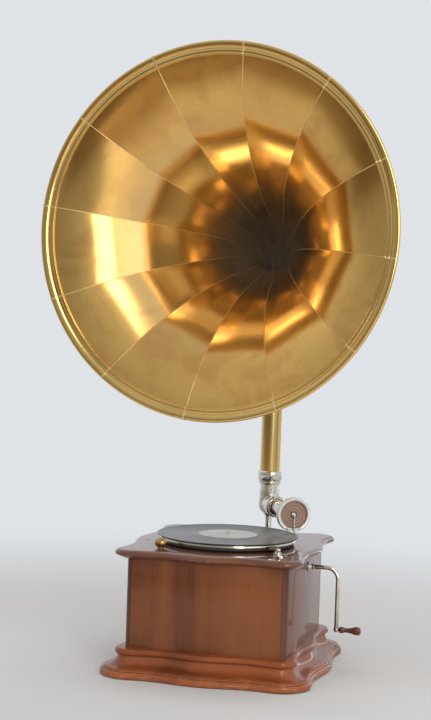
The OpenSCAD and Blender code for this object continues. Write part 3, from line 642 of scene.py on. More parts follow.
SPINDLE = (0.0, -10.0, 0.0)
PANEL_WOOD = Wood(
    "panel_veneer",
    dark=(0.07, 0.022, 0.011),
    middle=(0.16, 0.05, 0.018),
    light=(0.205, 0.065, 0.022),
    gloss=0.5,
)
LID_WOOD = Wood(
    "lid_wood",
    dark=(0.062, 0.023, 0.014),
    middle=(0.125, 0.046, 0.026),
    light=(0.2, 0.075, 0.041),
    grain=Grain.ACROSS,
    gloss=1.0,
    worn=((206.3, 1.0),),
    # Painted shade along the joint under the lid.
    painted_shade_levels=((200.8, 0.8),),
)
# Brighter and redder than the panel wood: partly its own tone, partly painted warm bounce light.
BASE_WOOD = Wood(
    "base_wood",
    dark=(0.07, 0.02, 0.01),
    middle=(0.265, 0.073, 0.022),
    light=(0.4, 0.113, 0.031),
    grain=Grain.ACROSS,
    gloss=0.55,
    worn=((3.0, 1.0), (6.8, 1.3), (12.0, 0.5)),
    # Painted shade in the slab's step and along its bottom edge.
    painted_shade_levels=((12.6, 0.7), (0.4, 1.2)),
)
# Brighter and redder than the panel wood: partly its own tone, partly painted warm bounce light.
STRIP_WOOD = Wood(
    "strip_wood",
    dark=(0.07, 0.02, 0.01),
    middle=(0.285, 0.074, 0.021),
    light=(0.42, 0.115, 0.03),
    grain=Grain.ROUND,
    gloss=0.55,
    worn=((16.2, 0.4),),
    # Painted shade under the bead.
    painted_shade_levels=((35.6, 1.3),),
)
REED_WOOD = Wood(
    "reed_wood",
    dark=(0.06, 0.022, 0.014),
    middle=(0.1, 0.036, 0.022),
    light=(0.14, 0.05, 0.03),
    gloss=0.4,
    polish=0.18,
)
GRIP_WOOD = Wood(
    "grip_wood",
    dark=(0.042, 0.011, 0.007),
    middle=(0.085, 0.024, 0.014),
    light=(0.13, 0.038, 0.021),
    grain=Grain.ACROSS,
)
SHEET_BRASS = HornBrass("horn_sheet_brass")
ROLLED_BRASS = Metal(
    "rolled_brass", (0.86, 0.56, 0.19), (0.6, 0.37, 0.12), 0.15, 0.4, 7.0, grit=0.0, spread=0.04
)
PIPE_BRASS = Metal(
    "pipe_brass", (0.72, 0.5, 0.19), (0.46, 0.31, 0.11), 0.16, 0.5, 7.0, grit=0.004, spread=0.04
)
KNOB_BRASS = Metal("knob_brass", (0.5, 0.34, 0.14), (0.3, 0.2, 0.08), 0.33, 0.5, 60.0, grit=0.02)
SEAM_BRASS = Metal("solder_seam", (0.8, 0.58, 0.27), (0.55, 0.38, 0.16), 0.33, 0.6, 30.0, metal=0.8)
WHEEL_BRASS = Metal("wheel_brass", (0.8, 0.58, 0.22), (0.48, 0.32, 0.11), 0.33, 0.4, 40.0)
NICKEL = Metal(
    "nickel_plate", (0.8, 0.77, 0.67), (0.33, 0.28, 0.19), 0.16, 0.8, 42.0, 0.1, spread=0.045
)
RIM_NICKEL = Metal(
    "platter_nickel", (0.8, 0.75, 0.63), (0.5, 0.44, 0.33), 0.14, 0.4, 9.0, grit=0.015, spread=0.03
)
BOX_NICKEL = Metal("sound_box_nickel", (0.77, 0.76, 0.72), (0.58, 0.56, 0.51), 0.42, 0.3, 40.0)
STEEL = Metal("oiled_steel", (0.42, 0.42, 0.43), (0.2, 0.19, 0.18), 0.33, 0.5, 50.0)
IRON = Plain("painted_iron", (0.03, 0.032, 0.034), (0.055, 0.055, 0.055), 0.5, 600.0, 0.3)
FELT = Plain("green_felt", (0.02, 0.055, 0.03), (0.035, 0.09, 0.05), 0.95, 900.0, 0.8, 0.4)
LEATHER = Plain("pad_leather", (0.17, 0.09, 0.045), (0.1, 0.05, 0.025), 0.7, 500.0, 0.5)
RUBBER = Plain("gasket_rubber", (0.03, 0.028, 0.026), (0.05, 0.045, 0.04), 0.75, 400.0, 0.3)
SHELLAC = Grooved("grooved_shellac", SPINDLE)


def soften(corners: Profile, radius: float, steps: int = 4) -> list[tuple[float, float]]:
    """Rounds the corners of a closed outline.

    Args:
        corners: Points of the outline.
        radius: Largest setback from a corner along its sides.
        steps: Steps in each rounding.

    Returns:
        Points of the rounded outline.
    """
    rounded: list[tuple[float, float]] = []
    count = len(corners)
    for i, corner in enumerate(corners):
        here = Vector(corner)
        before = Vector(corners[i - 1]) - here
        after = Vector(corners[(i + 1) % count]) - here
        setback = min(radius, before.length * 0.45, after.length * 0.45)
        start = here + before.normalized() * setback
        end = here + after.normalized() * setback
        for j in range(steps + 1):
            t = j / steps
            point = start.lerp(here, t).lerp(here.lerp(end, t), t)
            rounded.append((point.x, point.y))
    return rounded


def arc(
    centre: tuple[float, float], radius: float, start: float, end: float, steps: int
) -> Profile:
    """Points on an arc.

    Args:
        centre: Middle of the arc.
        radius: Radius.
        start: First angle in degrees.
        end: Last angle in degrees.
        steps: Steps between them.

    Returns:
        The points in order.
    """
    angles = [math.radians(start + (end - start) * i / steps) for i in range(steps + 1)]
    return [(centre[0] + radius * math.cos(a), centre[1] + radius * math.sin(a)) for a in angles]


def moved(points: Profile, out: float, up: float) -> list[tuple[float, float]]:
    """A profile moved outwards and upwards."""
    return [(out + r, up + z) for r, z in points]


def upright(x: float, y: float, z: float = 0.0) -> Matrix:
    """Frame at a place, with Z up."""
    return Matrix.Translation((x, y, z))


def sideways(x: float, y: float, z: float) -> Matrix:
    """Frame at a place, with its Z along +X."""
    return Matrix.Translation((x, y, z)) @ Matrix.Rotation(math.pi / 2, 4, "Y")


def facing(place: Sequence[float], direction: Sequence[float]) -> Matrix:
    """Frame at a place, with its Z along a direction.

    Args:
        place: Origin.
        direction: Where Z points.

    Returns:
        The frame.
    """
    turn = Vector((0.0, 0.0, 1.0)).rotation_difference(Vector(direction))
    return Matrix.Translation(place) @ turn.to_matrix().to_4x4()


class Shape:
    """A mesh in the making, in millimetres."""

    def __init__(self) -> None:
        """Starts empty."""
        self.bm = bmesh.new()

    def take(self, part: bmesh.types.BMesh, frame: Matrix) -> "Shape":
        """Welds a part, turns its faces out, places it and joins it on.

        Args:
            part: The part, used up.
            frame: Where it goes.

        Returns:
            This shape.
        """
        bmesh.ops.remove_doubles(part, verts=part.verts[:], dist=WELD)
        bmesh.ops.recalc_face_normals(part, faces=part.faces[:])
        bmesh.ops.transform(part, matrix=frame, verts=part.verts[:])
        mesh = bpy.data.meshes.new("part")
        part.to_mesh(mesh)
        part.free()
        self.bm.from_mesh(mesh)
        bpy.data.meshes.remove(mesh)
        return self

    def lathe(
        self,
        profile: Profile,
        frame: Matrix = Matrix(),
        steps: int = 64,
        closed: bool = True,
        sweep: float = FULL_TURN,
    ) -> "Shape":
        """Turns a profile of radius and height about Z.

        Args:
            profile: Points of the profile.
            frame: Where it goes.
            steps: Steps round.
            closed: Whether the last point joins the first.
            sweep: Angle in degrees; a part turn is closed at its ends.

        Returns:
            This shape.
        """
        part = bmesh.new()
        verts = [part.verts.new((r, 0.0, z)) for r, z in profile]
        nexts = verts[1:] + verts[:1] if closed else verts[1:]
        edges = [part.edges.new(pair) for pair in zip(verts, nexts)]
        bmesh.ops.spin(
            part,
            geom=verts + edges,
            cent=(0.0, 0.0, 0.0),
            axis=(0.0, 0.0, 1.0),
            dvec=(0.0, 0.0, 0.0),
            angle=math.radians(sweep),
            steps=steps,
            use_merge=sweep == FULL_TURN,
        )
        if sweep != FULL_TURN:
            bmesh.ops.remove_doubles(part, verts=part.verts[:], dist=WELD)
            bmesh.ops.holes_fill(part, edges=[e for e in part.edges if e.is_boundary], sides=0)
        return self.take(part, frame)

    def loft(
        self,
        rings: Sequence[Ring],
        frame: Matrix = Matrix(),
        joined: bool = False,
        mapped: bool = False,
    ) -> "Shape":
        """Draws a closed ring through a row of rings.

        Args:
            rings: Rings with the same number of points.
            frame: Where it goes.
            joined: Whether the last ring joins the first, instead of caps.
            mapped: Whether it gets surface coordinates, round and along, in metres.

        Returns:
            This shape.
        """
        part = bmesh.new()
        count = len(rings[0])
        row = bmesh.ops.create_circle(part, segments=count, radius=1.0)["verts"]
        edges = part.edges[:]
        first = edges[:]
        for vert, point in zip(row, rings[0]):
            vert.co = point
        table = {vert: (i, 0) for i, vert in enumerate(row)}
        for level, ring in enumerate(rings[1:], 1):
            grown = bmesh.ops.extrude_edge_only(part, edges=edges)["geom"]
            fresh = {g for g in grown if isinstance(g, bmesh.types.BMVert)}
            edges = [g for g in grown if isinstance(g, bmesh.types.BMEdge)]
            edges = [e for e in edges if e.verts[0] in fresh and e.verts[1] in fresh]
            following = []
            for vert, point in zip(row, ring):
                partner = next(
                    e.other_vert(vert) for e in vert.link_edges if e.other_vert(vert) in fresh
                )
                partner.co = point
                table[partner] = (len(following), level)
                following.append(partner)
            row = following
        if joined:
            bmesh.ops.bridge_loops(part, edges=first + edges)
        else:
            bmesh.ops.holes_fill(part, edges=first, sides=0)
            bmesh.ops.holes_fill(part, edges=edges, sides=0)
        if mapped:
            self._map_round(part, table, rings)
        return self.take(part, frame)

    @staticmethod
    def _map_round(
        part: bmesh.types.BMesh,
        table: dict[bmesh.types.BMVert, tuple[int, int]],
        rings: Sequence[Ring],
    ) -> None:
        """Writes surface coordinates, round and along, in metres.

        Args:
            part: The loft.
            table: Place in the ring and number of the ring, for each point.
            rings: The rings that it was drawn through.
        """
        layer = part.loops.layers.uv.new("UVMap")
        base = rings[0]
        round_at = [0.0]
        for a, b in zip(base, list(base[1:]) + [base[0]]):
            round_at.append(round_at[-1] + (Vector(b) - Vector(a)).length * MM)
        along_at = [0.0]
        for lower, upper in zip(rings, rings[1:]):
            along_at.append(along_at[-1] + (Vector(upper[0]) - Vector(lower[0])).length * MM)
        for face in part.faces:
            seam = {table[v][0] for v in face.verts} >= {0, len(base) - 1}
            for loop in face.loops:
                i, level = table[loop.vert]
                turn = round_at[-1] if seam and i == 0 else round_at[i]
                loop[layer].uv = (turn, along_at[level])

    def tube(self, path: Sequence[Vector], radii: Sequence[float], sides: int = 24) -> "Shape":
        """Draws a round bar along a path.

        Args:
            path: Points of its middle line.
            radii: Radius at each point.
            sides: Sides of the bar.

        Returns:
            This shape.
        """
        rings = []
        side = None
        for i, point in enumerate(path):
            ahead = (path[min(i + 1, len(path) - 1)] - path[max(i - 1, 0)]).normalized()
            side = ahead.orthogonal() if side is None else side - ahead * side.dot(ahead)
            side = side.normalized()
            other = ahead.cross(side)
            angles = [2.0 * math.pi * k / sides for k in range(sides)]
            rings.append(
                [point + radii[i] * (math.cos(a) * side + math.sin(a) * other) for a in angles]
            )
        return self.loft(rings)

    def board(
        self,
        low: Sequence[float],
        high: Sequence[float],
        bevel: float,
        frame: Matrix = Matrix(),
        segments: int = 3,
    ) -> "Shape":
        """Adds a board with rounded edges.

        Args:
            low: Lowest corner.
            high: Highest corner.
            bevel: Rounding of its edges.
            frame: Where it goes.
            segments: Steps in the rounding.

        Returns:
            This shape.
        """
        part = bmesh.new()
        bmesh.ops.create_cube(part, size=1.0)
        size = Vector(high) - Vector(low)
        middle = (Vector(high) + Vector(low)) / 2.0
        bmesh.ops.scale(part, vec=size, verts=part.verts[:])
        bmesh.ops.translate(part, vec=middle, verts=part.verts[:])
        bmesh.ops.bevel(
            part,
            geom=part.edges[:],
            offset=bevel,
            offset_type="OFFSET",
            segments=segments,
            profile=0.5,
            affect="EDGES",
            material=-1,
        )
        return self.take(part, frame)

    def patch(
        self,
        rows: int,
        cols: int,
        place: Callable[[float, float], Vector],
        mapping: Callable[[float, float], tuple[float, float]],
        thick: float,
    ) -> "Shape":
        """Bends a grid into a thin sheet.

        Args:
            rows: Faces along its length.
            cols: Faces across.
            place: Point for a share across and a share along.
            mapping: Surface coordinates for the same shares. On the far side the second is
                below 0.
            thick: Thickness behind the grid, below 0 for in front.

        Returns:
            This shape.
        """
        part = bmesh.new()
        bmesh.ops.create_grid(part, x_segments=cols, y_segments=rows, size=0.5)
        layer = part.loops.layers.uv.new("UVMap")
        for face in part.faces:
            for loop in face.loops:
                loop[layer].uv = mapping(loop.vert.co.x + 0.5, loop.vert.co.y + 0.5)
        for vert in part.verts:
            vert.co = place(vert.co.x + 0.5, vert.co.y + 0.5)
        part.normal_update()
        grown = bmesh.ops.solidify(part, geom=part.faces[:], thickness=thick)["geom"]
        for face in grown:
            if isinstance(face, bmesh.types.BMFace):
                for loop in face.loops:
                    across, along = loop[layer].uv
                    loop[layer].uv = (across, -along)
        return self.take(part, Matrix())

    def screw(self, frame: Matrix, radius: float, height: float, turn: float = 20.0) -> "Shape":
        """Adds a slotted round screw head.

        Args:
            frame: Its seat, with Z out.
            radius: Radius of the head.
            height: Height of the head.
            turn: Turn of the slot in degrees.

        Returns:
            This shape.
        """
        floor = height * 0.45
        self.lathe([(0.0, 0.0), (radius, 0.0), (radius, floor), (0.0, floor)], frame, 20, False)
        slot = radius * 0.13
        dome = [(0.0, floor), (radius, floor), *arc((0.0, floor), radius, 12, 78, 4)]
        dome = [(r, floor + (z - floor) * (height - floor) / radius) for r, z in dome]
        dome.append((0.0, height))
        for side in (0.0, 180.0):
            spin = Matrix.Rotation(math.radians(turn + side), 4, "Z")
            self.lathe(dome, frame @ spin @ Matrix.Translation((0.0, slot, 0.0)), 10, True, 180.0)
        return self

    def cut_below(self, place: Vector, up: Vector) -> "Shape":
        """Cuts off what is under a plane and closes the cut.

        Args:
            place: Point on the plane.
            up: Side that stays.

        Returns:
            This shape.
        """
        geometry = self.bm.verts[:] + self.bm.edges[:] + self.bm.faces[:]
        bmesh.ops.bisect_plane(
            self.bm, geom=geometry, dist=WELD, plane_co=place, plane_no=up, clear_inner=True
        )
        bmesh.ops.holes_fill(self.bm, edges=[e for e in self.bm.edges if e.is_boundary], sides=0)
        return self


@dataclass
class Bench:
    """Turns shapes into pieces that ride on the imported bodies."""

    paints: Paints
    nodes: dict[str, bpy.types.Object]

    def put(
        self,
        name: str,
        shape: Shape,
        body: str,
        finish: Finish,
        stands_for: Sequence[str] = (),
        crease: float = 32.0,
    ) -> None:
        """Makes a piece of a shape.

        Args:
            name: Name of the piece.
            shape: Its shape, used up.
            body: Body that it rides on.
            finish: Its finish.
            stands_for: Nodes that it replaces.
            crease: Angle in degrees above which an edge stays sharp.
        """
        bmesh.ops.scale(shape.bm, vec=(MM, MM, MM), verts=shape.bm.verts[:])
        mesh = bpy.data.meshes.new(name)
        shape.bm.to_mesh(mesh)
        shape.bm.free()
        mesh.polygons.foreach_set("use_smooth", [True] * len(mesh.polygons))
        mesh.set_sharp_from_angle(angle=math.radians(crease))
        mesh.materials.append(self.paints.get(finish))
        piece = bpy.data.objects.new(name, mesh)
        bpy.context.scene.collection.objects.link(piece)
        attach(piece, body)
        if stands_for:
            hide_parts(*stands_for)
        LOG.info("%s on %s, %d faces", name, body, len(mesh.polygons))

    def dress(self, finish: Finish, *names: str) -> None:
        """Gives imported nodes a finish.

        Args:
            finish: The finish.
            names: Names of the nodes.
        """
        material = self.paints.get(finish)
        for name in names:
            node = self.nodes[name]
            if node.material_slots:
                for holder in node.material_slots:
                    holder.material = material
            else:
                node.data.materials.append(material)
            LOG.info("%s dressed in %s", name, material.name)


@dataclass
class Case:
    """Wooden case with a serpentine base and lid."""

    half_w: float = 140.0
    half_d: float = 160.0
    wall: float = 12.0
    panel_z: float = 43.0
    panel_h: float = 157.0
    column_r: float = 10.0
    wave: float = 5.5
    edge_r: float = 12.0
    side_steps: int = 56
    corner_steps: int = 14
    reed_pitch: float = 3.4
    reed_depth: float = 0.8
    reed_curve: Levels = (
        (0.04, 1.0),
        (0.12, 0.5),
        (0.3, 0.1),
        (0.5, 0.0),
        (0.7, 0.1),
        (0.88, 0.5),
        (0.96, 1.0),
    )
    cove_foot: float = 36.0
    cove_neck: float = 8.5
    cove_z: float = 16.9
    cove_h: float = 18.9
    bead_z: float = 41.2
    bead_half: float = 5.6
    bead_out: float = 15.0
    bead_w: float = 5.2
    nose_z: float = 208.0
    nose_h: float = 7.0
    nose_in: float = 9.5
    nose_w: float = 11.5

    def swing(self, t: float, width: float) -> float:
        """Wave of the edge at a place along a side."""
        return self.wave * math.cos(2.0 * math.pi * t / width)

    def outline(self, out: float, z: float) -> list[Vector]:
        """Serpentine outline.

        Args:
            out: How far it stands out past the panels.
            z: Its height.

        Returns:
            Points of the outline, anticlockwise from above.
        """
        points: list[Vector] = []
        sizes = (self.half_w + out, self.half_d + out)
        r = self.edge_r + out
        for k in range(4):
            half, dist = (sizes[0], sizes[1]) if k % 2 == 0 else (sizes[1], sizes[0])
            turn = Matrix.Rotation(k * math.pi / 2, 3, "Z")
            for i in range(self.side_steps):
                t = (half - r) * (2.0 * i / (self.side_steps - 1) - 1.0)
                points.append(turn @ Vector((t, -dist - self.swing(t, half), z)))
            for j in range(1, self.corner_steps):
                share = j / self.corner_steps
                first, last = self.swing(half - r, half), self.swing(dist - r, dist)
                o = first * (1.0 - share) + last * share
                a = math.radians(-90.0 + 90.0 * share)
                x = half - r + (r + o) * math.cos(a)
                points.append(turn @ Vector((x, -dist + r + (r + o) * math.sin(a), z)))
        return points

    def inner(self, ring: Ring, z: float) -> list[Vector]:
        """Inner line of a frame, on the panels' inner faces.

        Args:
            ring: Outline of the frame.
            z: Height of the line.

        Returns:
            One point for each point of the outline.
        """
        wide, deep = self.half_w - self.wall, self.half_d - self.wall
        points = []
        for p in ring:
            share = max(abs(p.x) / wide, abs(p.y) / deep)
            points.append(Vector((p.x / share, p.y / share, z)))
        return points

    def moulding(self, levels: Profile) -> Shape:
        """Solid board with a moulded edge, from heights and overhangs."""
        return Shape().loft([self.outline(out, z) for z, out in levels])

    def strip(self, levels: Profile) -> Shape:
        """Frame with a moulded edge, open inside the panels.

        Args:
            levels: Heights and overhangs of the edge.

        Returns:
            The frame.
        """
        rings = [self.outline(out, z) for z, out in levels]
        rings.append(self.inner(rings[-1], levels[-1][0]))
        rings.append(self.inner(rings[0], levels[0][0]))
        return Shape().loft(rings, joined=True, mapped=True)

    def build(self, bench: Bench) -> None:
        """Builds the woodwork.

        Args:
            bench: Makes the pieces.
        """
        slab = [(0.0, 40.0), (0.7, 41.6), (2.0, 43.0), (4.0, 43.8), (6.2, 44.0), (8.4, 43.7)]
        slab += [(10.2, 42.9), (11.4, 41.7), (12.0, 40.4), (12.2, 39.2), (13.2, 39.0)]
        slab += [(14.2, 38.4), (14.8, 37.4), (15.0, 36.4), (15.1, 5.0), (19.0, 4.6)]
        bench.put(
            "slab_board", self.moulding(slab), "case", BASE_WOOD, ["base_slab"]
        )
        foot, neck, steps = self.cove_foot, self.cove_neck, 16
        cove = [(15.0, foot - 0.4), (15.3, foot), (16.4, foot), (16.8, foot - 0.5)]
        for i in range(steps + 1):
            a = math.radians(90.0 * i / steps)
            out = neck + (foot - 1.4 - neck) * (1.0 - math.sin(a))
            cove.append((self.cove_z + self.cove_h * (1.0 - math.cos(a)), out))
        bench.put(
            "cove_strips", self.strip(cove), "case", STRIP_WOOD, ["base_cove"]
        )
        bead, steps = [], 14
        for i in range(steps + 1):
            a = math.radians(-90.0 + 180.0 * i / steps)
            out = self.bead_out - self.bead_w * (1.0 - math.cos(a))
            bead.append((self.bead_z + self.bead_half * math.sin(a), out))
        bench.put(
            "bead_strips", self.strip(bead), "case", STRIP_WOOD, ["base_bead"]
        )
        self.build_panels(bench)
        self.build_columns(bench)
        lid = [(200.0, 5.5), (200.7, 6.4), (201.6, 8.6), (202.5, 11.4), (203.4, 14.2)]
        lid += [(204.4, 16.9), (205.5, 19.0), (206.7, 20.5), (208.0, 21.0)]
        for out, rise in arc((0.0, 0.0), 1.0, 9.0, 90.0, 9):
            lid.append((self.nose_z + self.nose_h * rise, self.nose_in + self.nose_w * out))
        bench.put("lid_top", self.moulding(lid), "case", LID_WOOD, ["lid_board"])

    def build_panels(self, bench: Bench) -> None:
        """Builds the four panels.

        Args:
            bench: Makes the pieces.
        """
        low, high = self.panel_z, self.panel_z + self.panel_h
        wide, deep = self.half_w - self.column_r, self.half_d
        pair = (("front_veneer", "front_panel", -1), ("rear_veneer", "rear_panel", 1))
        for name, node, side in pair:
            near, far = sorted((side * deep, side * (deep - self.wall)))
            shape = Shape().board((-wide, near, low), (wide, far, high), 0.5)
            bench.put(name, shape, "case", PANEL_WOOD, [node])
        inner = self.half_d - self.wall
        pair = (("left_veneer", "left_panel", -1), ("right_veneer", "right_panel", 1))
        for name, node, side in pair:
            near, far = sorted((side * self.half_w, side * (self.half_w - self.wall)))
            shape = Shape().board((near, -inner, low), (far, inner, high), 0.5)
            bench.put(name, shape, "case", PANEL_WOOD, [node])

    def build_columns(self, bench: Bench) -> None:
        """Builds the rounded corners with their fine reeding.

        Args:
            bench: Makes the pieces.
        """
        shape = Shape()
        reeds = int(self.panel_h / self.reed_pitch)
        low, high = self.panel_z, self.panel_z + self.panel_h
        pitch = self.panel_h / reeds
        edge = []
        for i in range(reeds):
            for share, dip in self.reed_curve:
                edge.append((self.column_r - self.reed_depth * dip, low + pitch * (i + share)))
        profile = [(0.0, low), (self.column_r - 1.0, low), *edge]
        profile += [(self.column_r - 1.0, high), (0.0, high)]
        for k, (sx, sy) in enumerate(((1, 1), (-1, 1), (-1, -1), (1, -1))):
            place = upright(sx * (self.half_w - self.column_r), sy * (self.half_d - self.column_r))
            turn = Matrix.Rotation(k * math.pi / 2, 4, "Z")
            shape.lathe(profile, place @ turn, 10, True, 90.0)
            x0, x1 = sorted((sx * (self.half_w - self.column_r), sx * (self.half_w - 0.3)))
            y0, y1 = sorted((sy * (self.half_d - self.wall), sy * (self.half_d - self.column_r)))
            shape.board((x0, y0, low), (x1, y1, high), 0.1, segments=1)
        bench.put(
            "reeded_corners", shape, "case", REED_WOOD, ["corner_columns"], crease=50.0
        )


@dataclass
class Crank:
    """Bent winding rod with its turned grip and side plate."""

    y: float = 20.0
    z: float = 178.0
    start_x: float = 66.0
    arm_x: float = 194.0
    grip_z: float = 70.0
    bend_r: float = 20.0
    rod_r: float = 3.7
    pin_r: float = 1.6
    grip_x: float = 199.0
    grip_len: float = 38.0
    wall_x: float = 140.0

    def build(self, bench: Bench) -> None:
        """Builds rod, grip and side plate.

        Args:
            bench: Makes the pieces.
        """
        path = [Vector((self.start_x, self.y, self.z)), Vector((self.wall_x, self.y, self.z))]
        corner = (self.arm_x - self.bend_r, self.z - self.bend_r)
        for x, z in arc(corner, self.bend_r, 90.0, 0.0, 12):
            path.append(Vector((x, self.y, z)))
        path += [Vector((self.arm_x, self.y, z)) for z in (144.0, 104.0, 80.0, self.grip_z)]
        radii = [self.rod_r] * (len(path) - 1) + [self.rod_r + 0.3]
        rod = Shape().tube(path, radii, 28)
        eye = [(0.0, -4.6), *arc((0.0, 0.0), 4.9, -70.0, 70.0, 14), (0.0, 4.6)]
        rod.lathe(eye, sideways(self.arm_x, self.y, self.grip_z), 32, False)
        end = self.grip_x + self.grip_len
        head = [(self.pin_r, 0.3), (2.7, 0.3), (2.7, 0.9), (2.1, 1.4), (0.0, 1.5)]
        pin = [(0.0, 0.0), (self.pin_r, 0.0), *moved(head, 0.0, end - self.arm_x)]
        rod.lathe(pin, sideways(self.arm_x, self.y, self.grip_z), 24, False)
        collar = soften([(3.4, 0.0), (5.4, 0.0), (5.4, 3.2), (3.4, 3.2)], 0.8)
        rod.lathe(collar, sideways(self.wall_x + 8.0, self.y, self.z), 32)
        bench.put("winding_rod", rod, "crank", NICKEL, ["crank_rod"])
        bench.put("turned_grip", self.grip(), "grip", GRIP_WOOD, ["crank_grip"])
        plate = [(4.05, 0.0), (7.6, 0.0), (8.0, 0.4), (8.0, 2.2), (7.5, 2.9), (6.4, 3.2)]
        plate += [(5.6, 3.4), (5.3, 3.9), (5.3, 6.2), (5.0, 6.8), (4.6, 7.0), (4.05, 7.0)]
        shape = Shape().lathe(plate, sideways(self.wall_x, self.y, self.z), 56)
        bench.put("side_rosette", shape, "case", BOX_NICKEL, ["crank_escutcheon"])

    def grip(self) -> Shape:
        """Turned grip with a ball, a waist, a bulb and two cut lines.

        Returns:
            The grip.
        """
        steps = 64
        bore = self.pin_r + 0.05
        profile = [(bore, 0.0)]
        for i in range(steps + 1):
            t = i / steps
            radius = 3.9 + 2.0 * math.exp(-(((t - 0.12) / 0.11) ** 2))
            radius += 3.6 * math.exp(-(((t - 0.82) / 0.24) ** 2))
            for line in (0.3, 0.62):
                radius -= 0.45 * math.exp(-(((t - line) / 0.012) ** 2))
            ends = min(t, 1.0 - t) * self.grip_len
            radius -= 1.1 * max(0.0, 1.0 - ends / 1.2) ** 2
            profile.append((radius, t * self.grip_len))
        profile.append((bore, self.grip_len))
        return Shape().lathe(profile, sideways(self.grip_x, self.y, self.grip_z), 40)


@dataclass
class Turntable:
    """Platter with felt and a record."""

    y: float = -10.0
    platter_z: float = 217.5
    platter_r: float = 121.0
    felt_top: float = 227.8
    record_r: float = 125.0
    record_t: float = 2.2

    def build(self, bench: Bench) -> None:
        """Builds the turning discs.

        Args:
            bench: Makes the pieces.
        """
        z = self.platter_z
        r = self.platter_r
        lip = [(-3.4, 3.3), (-2.6, 3.5), (-0.8, 3.9), (-0.2, 4.5), (0.0, 5.4), (0.0, 7.2)]
        lip += [(-0.4, 8.3), (-1.3, 8.9), (-2.2, 9.0), (-9.0, 9.0), (-9.0, 6.6), (-3.4, 6.6)]
        frame = upright(0.0, self.y)
        shape = Shape().lathe(moved(lip, r, z), frame, 144)
        bench.put("platter_lip", shape, "turntable", RIM_NICKEL, ["platter"])
        wall = [(-5.5, 6.0), (-5.5, 0.3), (-5.1, 0.0), (-4.2, 0.0), (-3.7, 0.4)]
        wall += [(-3.4, 3.3), (-3.4, 6.6), (-9.0, 6.6), (-9.0, 9.0)]
        hub = [(4.05, z + 9.0), (4.05, z), (14.0, z), (14.0, z + 6.0)]
        shape = Shape().lathe([*hub, *moved(wall, r, z)], frame, 144)
        bench.put("platter_dish", shape, "turntable", IRON)
        felt = soften([(4.2, z + 9.0), (119.5, z + 9.0), (119.5, z + 10.3), (4.2, z + 10.3)], 0.5)
        shape = Shape().lathe(felt, frame, 128)
        bench.put("felt_disc", shape, "turntable", FELT, ["felt_mat"])
        low, top = self.felt_top, self.felt_top + self.record_t
        disc = [(3.7, low), *moved([(-2.5, 0.0), (-0.6, 0.3), (0.0, 1.1)], self.record_r, low)]
        edge = [(-0.5, -0.2), (-1.6, 0.0), (-3.1, 0.0), (-3.8, -0.35)]
        middle = [(58.0, -0.35), (54.0, -0.3), (53.2, 0.0), (51.8, 0.0), (51.4, -0.2)]
        middle += [(12.0, -0.2), (11.4, 0.0), (3.7, 0.0)]
        disc += [*moved(edge, self.record_r, top), *moved(middle, 0.0, top)]
        shape = Shape().lathe(disc, frame, 160)
        bench.put("grooved_disc", shape, "turntable", SHELLAC, ["record"])


@dataclass
class Controls:
    """Speed knob and brake on the lid, and small screws."""

    knob: tuple[float, float] = (-89.0, -129.0)
    lid_top: float = 215.0
    knob_r: float = 11.2
    knob_h: float = 8.8
    brake: tuple[float, float] = (114.0, -126.0)
    brake_turn: float = 104.0
    bar: float = 46.0

    def build(self, bench: Bench) -> None:
        """Builds knob, brake and lid screws.

        Args:
            bench: Makes the pieces.
        """
        top = self.lid_top
        stem = [(0.0, 190.0), (4.0, 190.0), (4.0, top + 0.2), (4.6, top + 0.5), (4.6, top + 1.2)]
        middle = top + 1.0 + self.knob_h
        turns = arc((0.0, 0.0), 1.0, -66.0, 84.0, 26)
        ball = [(self.knob_r * x, middle + self.knob_h * y) for x, y in turns]
        profile = [*stem, *ball, (0.0, middle + self.knob_h)]
        shape = Shape().lathe(profile, upright(*self.knob), 48, False)
        bench.put("brass_knob", shape, "speed", KNOB_BRASS, ["speed_knob"])
        frame = upright(*self.brake) @ Matrix.Rotation(math.radians(self.brake_turn), 4, "Z")
        plate = Shape().board((-15.0, -8.0, top), (15.0, 8.0, top + 2.0), 0.5, frame)
        post = [(0.0, top), (3.0, top), (3.0, top + 5.6), (0.0, top + 5.6)]
        plate.lathe(post, frame, 28, False)
        plate.screw(frame @ upright(0.0, 0.0, top + 5.6), 5.0, 2.6)
        for x, y in ((-11.5, -5.7), (11.5, 5.7)):
            plate.screw(frame @ upright(x, y, top + 2.0), 1.9, 0.9, 35.0 + 9.0 * x)
        bench.put("brake_seat", plate, "case", RIM_NICKEL, ["brake_plate"])
        low = top + 2.3
        hub = [(3.05, 0.0), (6.6, 0.0), (7.0, 0.4), (7.0, 2.6), (6.6, 3.0), (3.05, 3.0)]
        lever = Shape().lathe(moved(hub, 0.0, low), frame, 40)
        lever.board((5.0, -3.5, low), (self.bar, 3.5, low + 3.0), 0.6, frame)
        lever.board((-24.0, -3.5, low), (-5.0, 3.5, low + 3.0), 0.6, frame)
        handle = [(0.0, 1.0), (2.4, 1.0), (2.4, 3.0), (3.0, 3.4), (2.2, 4.4), (1.9, 7.0)]
        handle += [*arc((0.0, 11.0), 3.6, -60.0, 84.0, 14), (0.0, 14.6)]
        lever.lathe(moved(handle, 0.0, low), frame @ upright(-22.0, 0.0), 28, False)
        lever.screw(frame @ upright(self.bar - 6.0, 0.0, low + 8.0), 2.4, 1.2, 70.0)
        bench.put("brake_bar", lever, "brake", RIM_NICKEL, ["brake_lever"])
        bench.dress(LEATHER, "brake_pad")
        lid = Shape()
        for x, y, turn in ((126.0, 21.0, 30.0), (-138.0, -42.0, 75.0), (126.0, -118.0, 10.0)):
            lid.screw(upright(x, y, top), 2.6, 0.8, turn)
        bench.put("lid_screws", lid, "case", NICKEL)


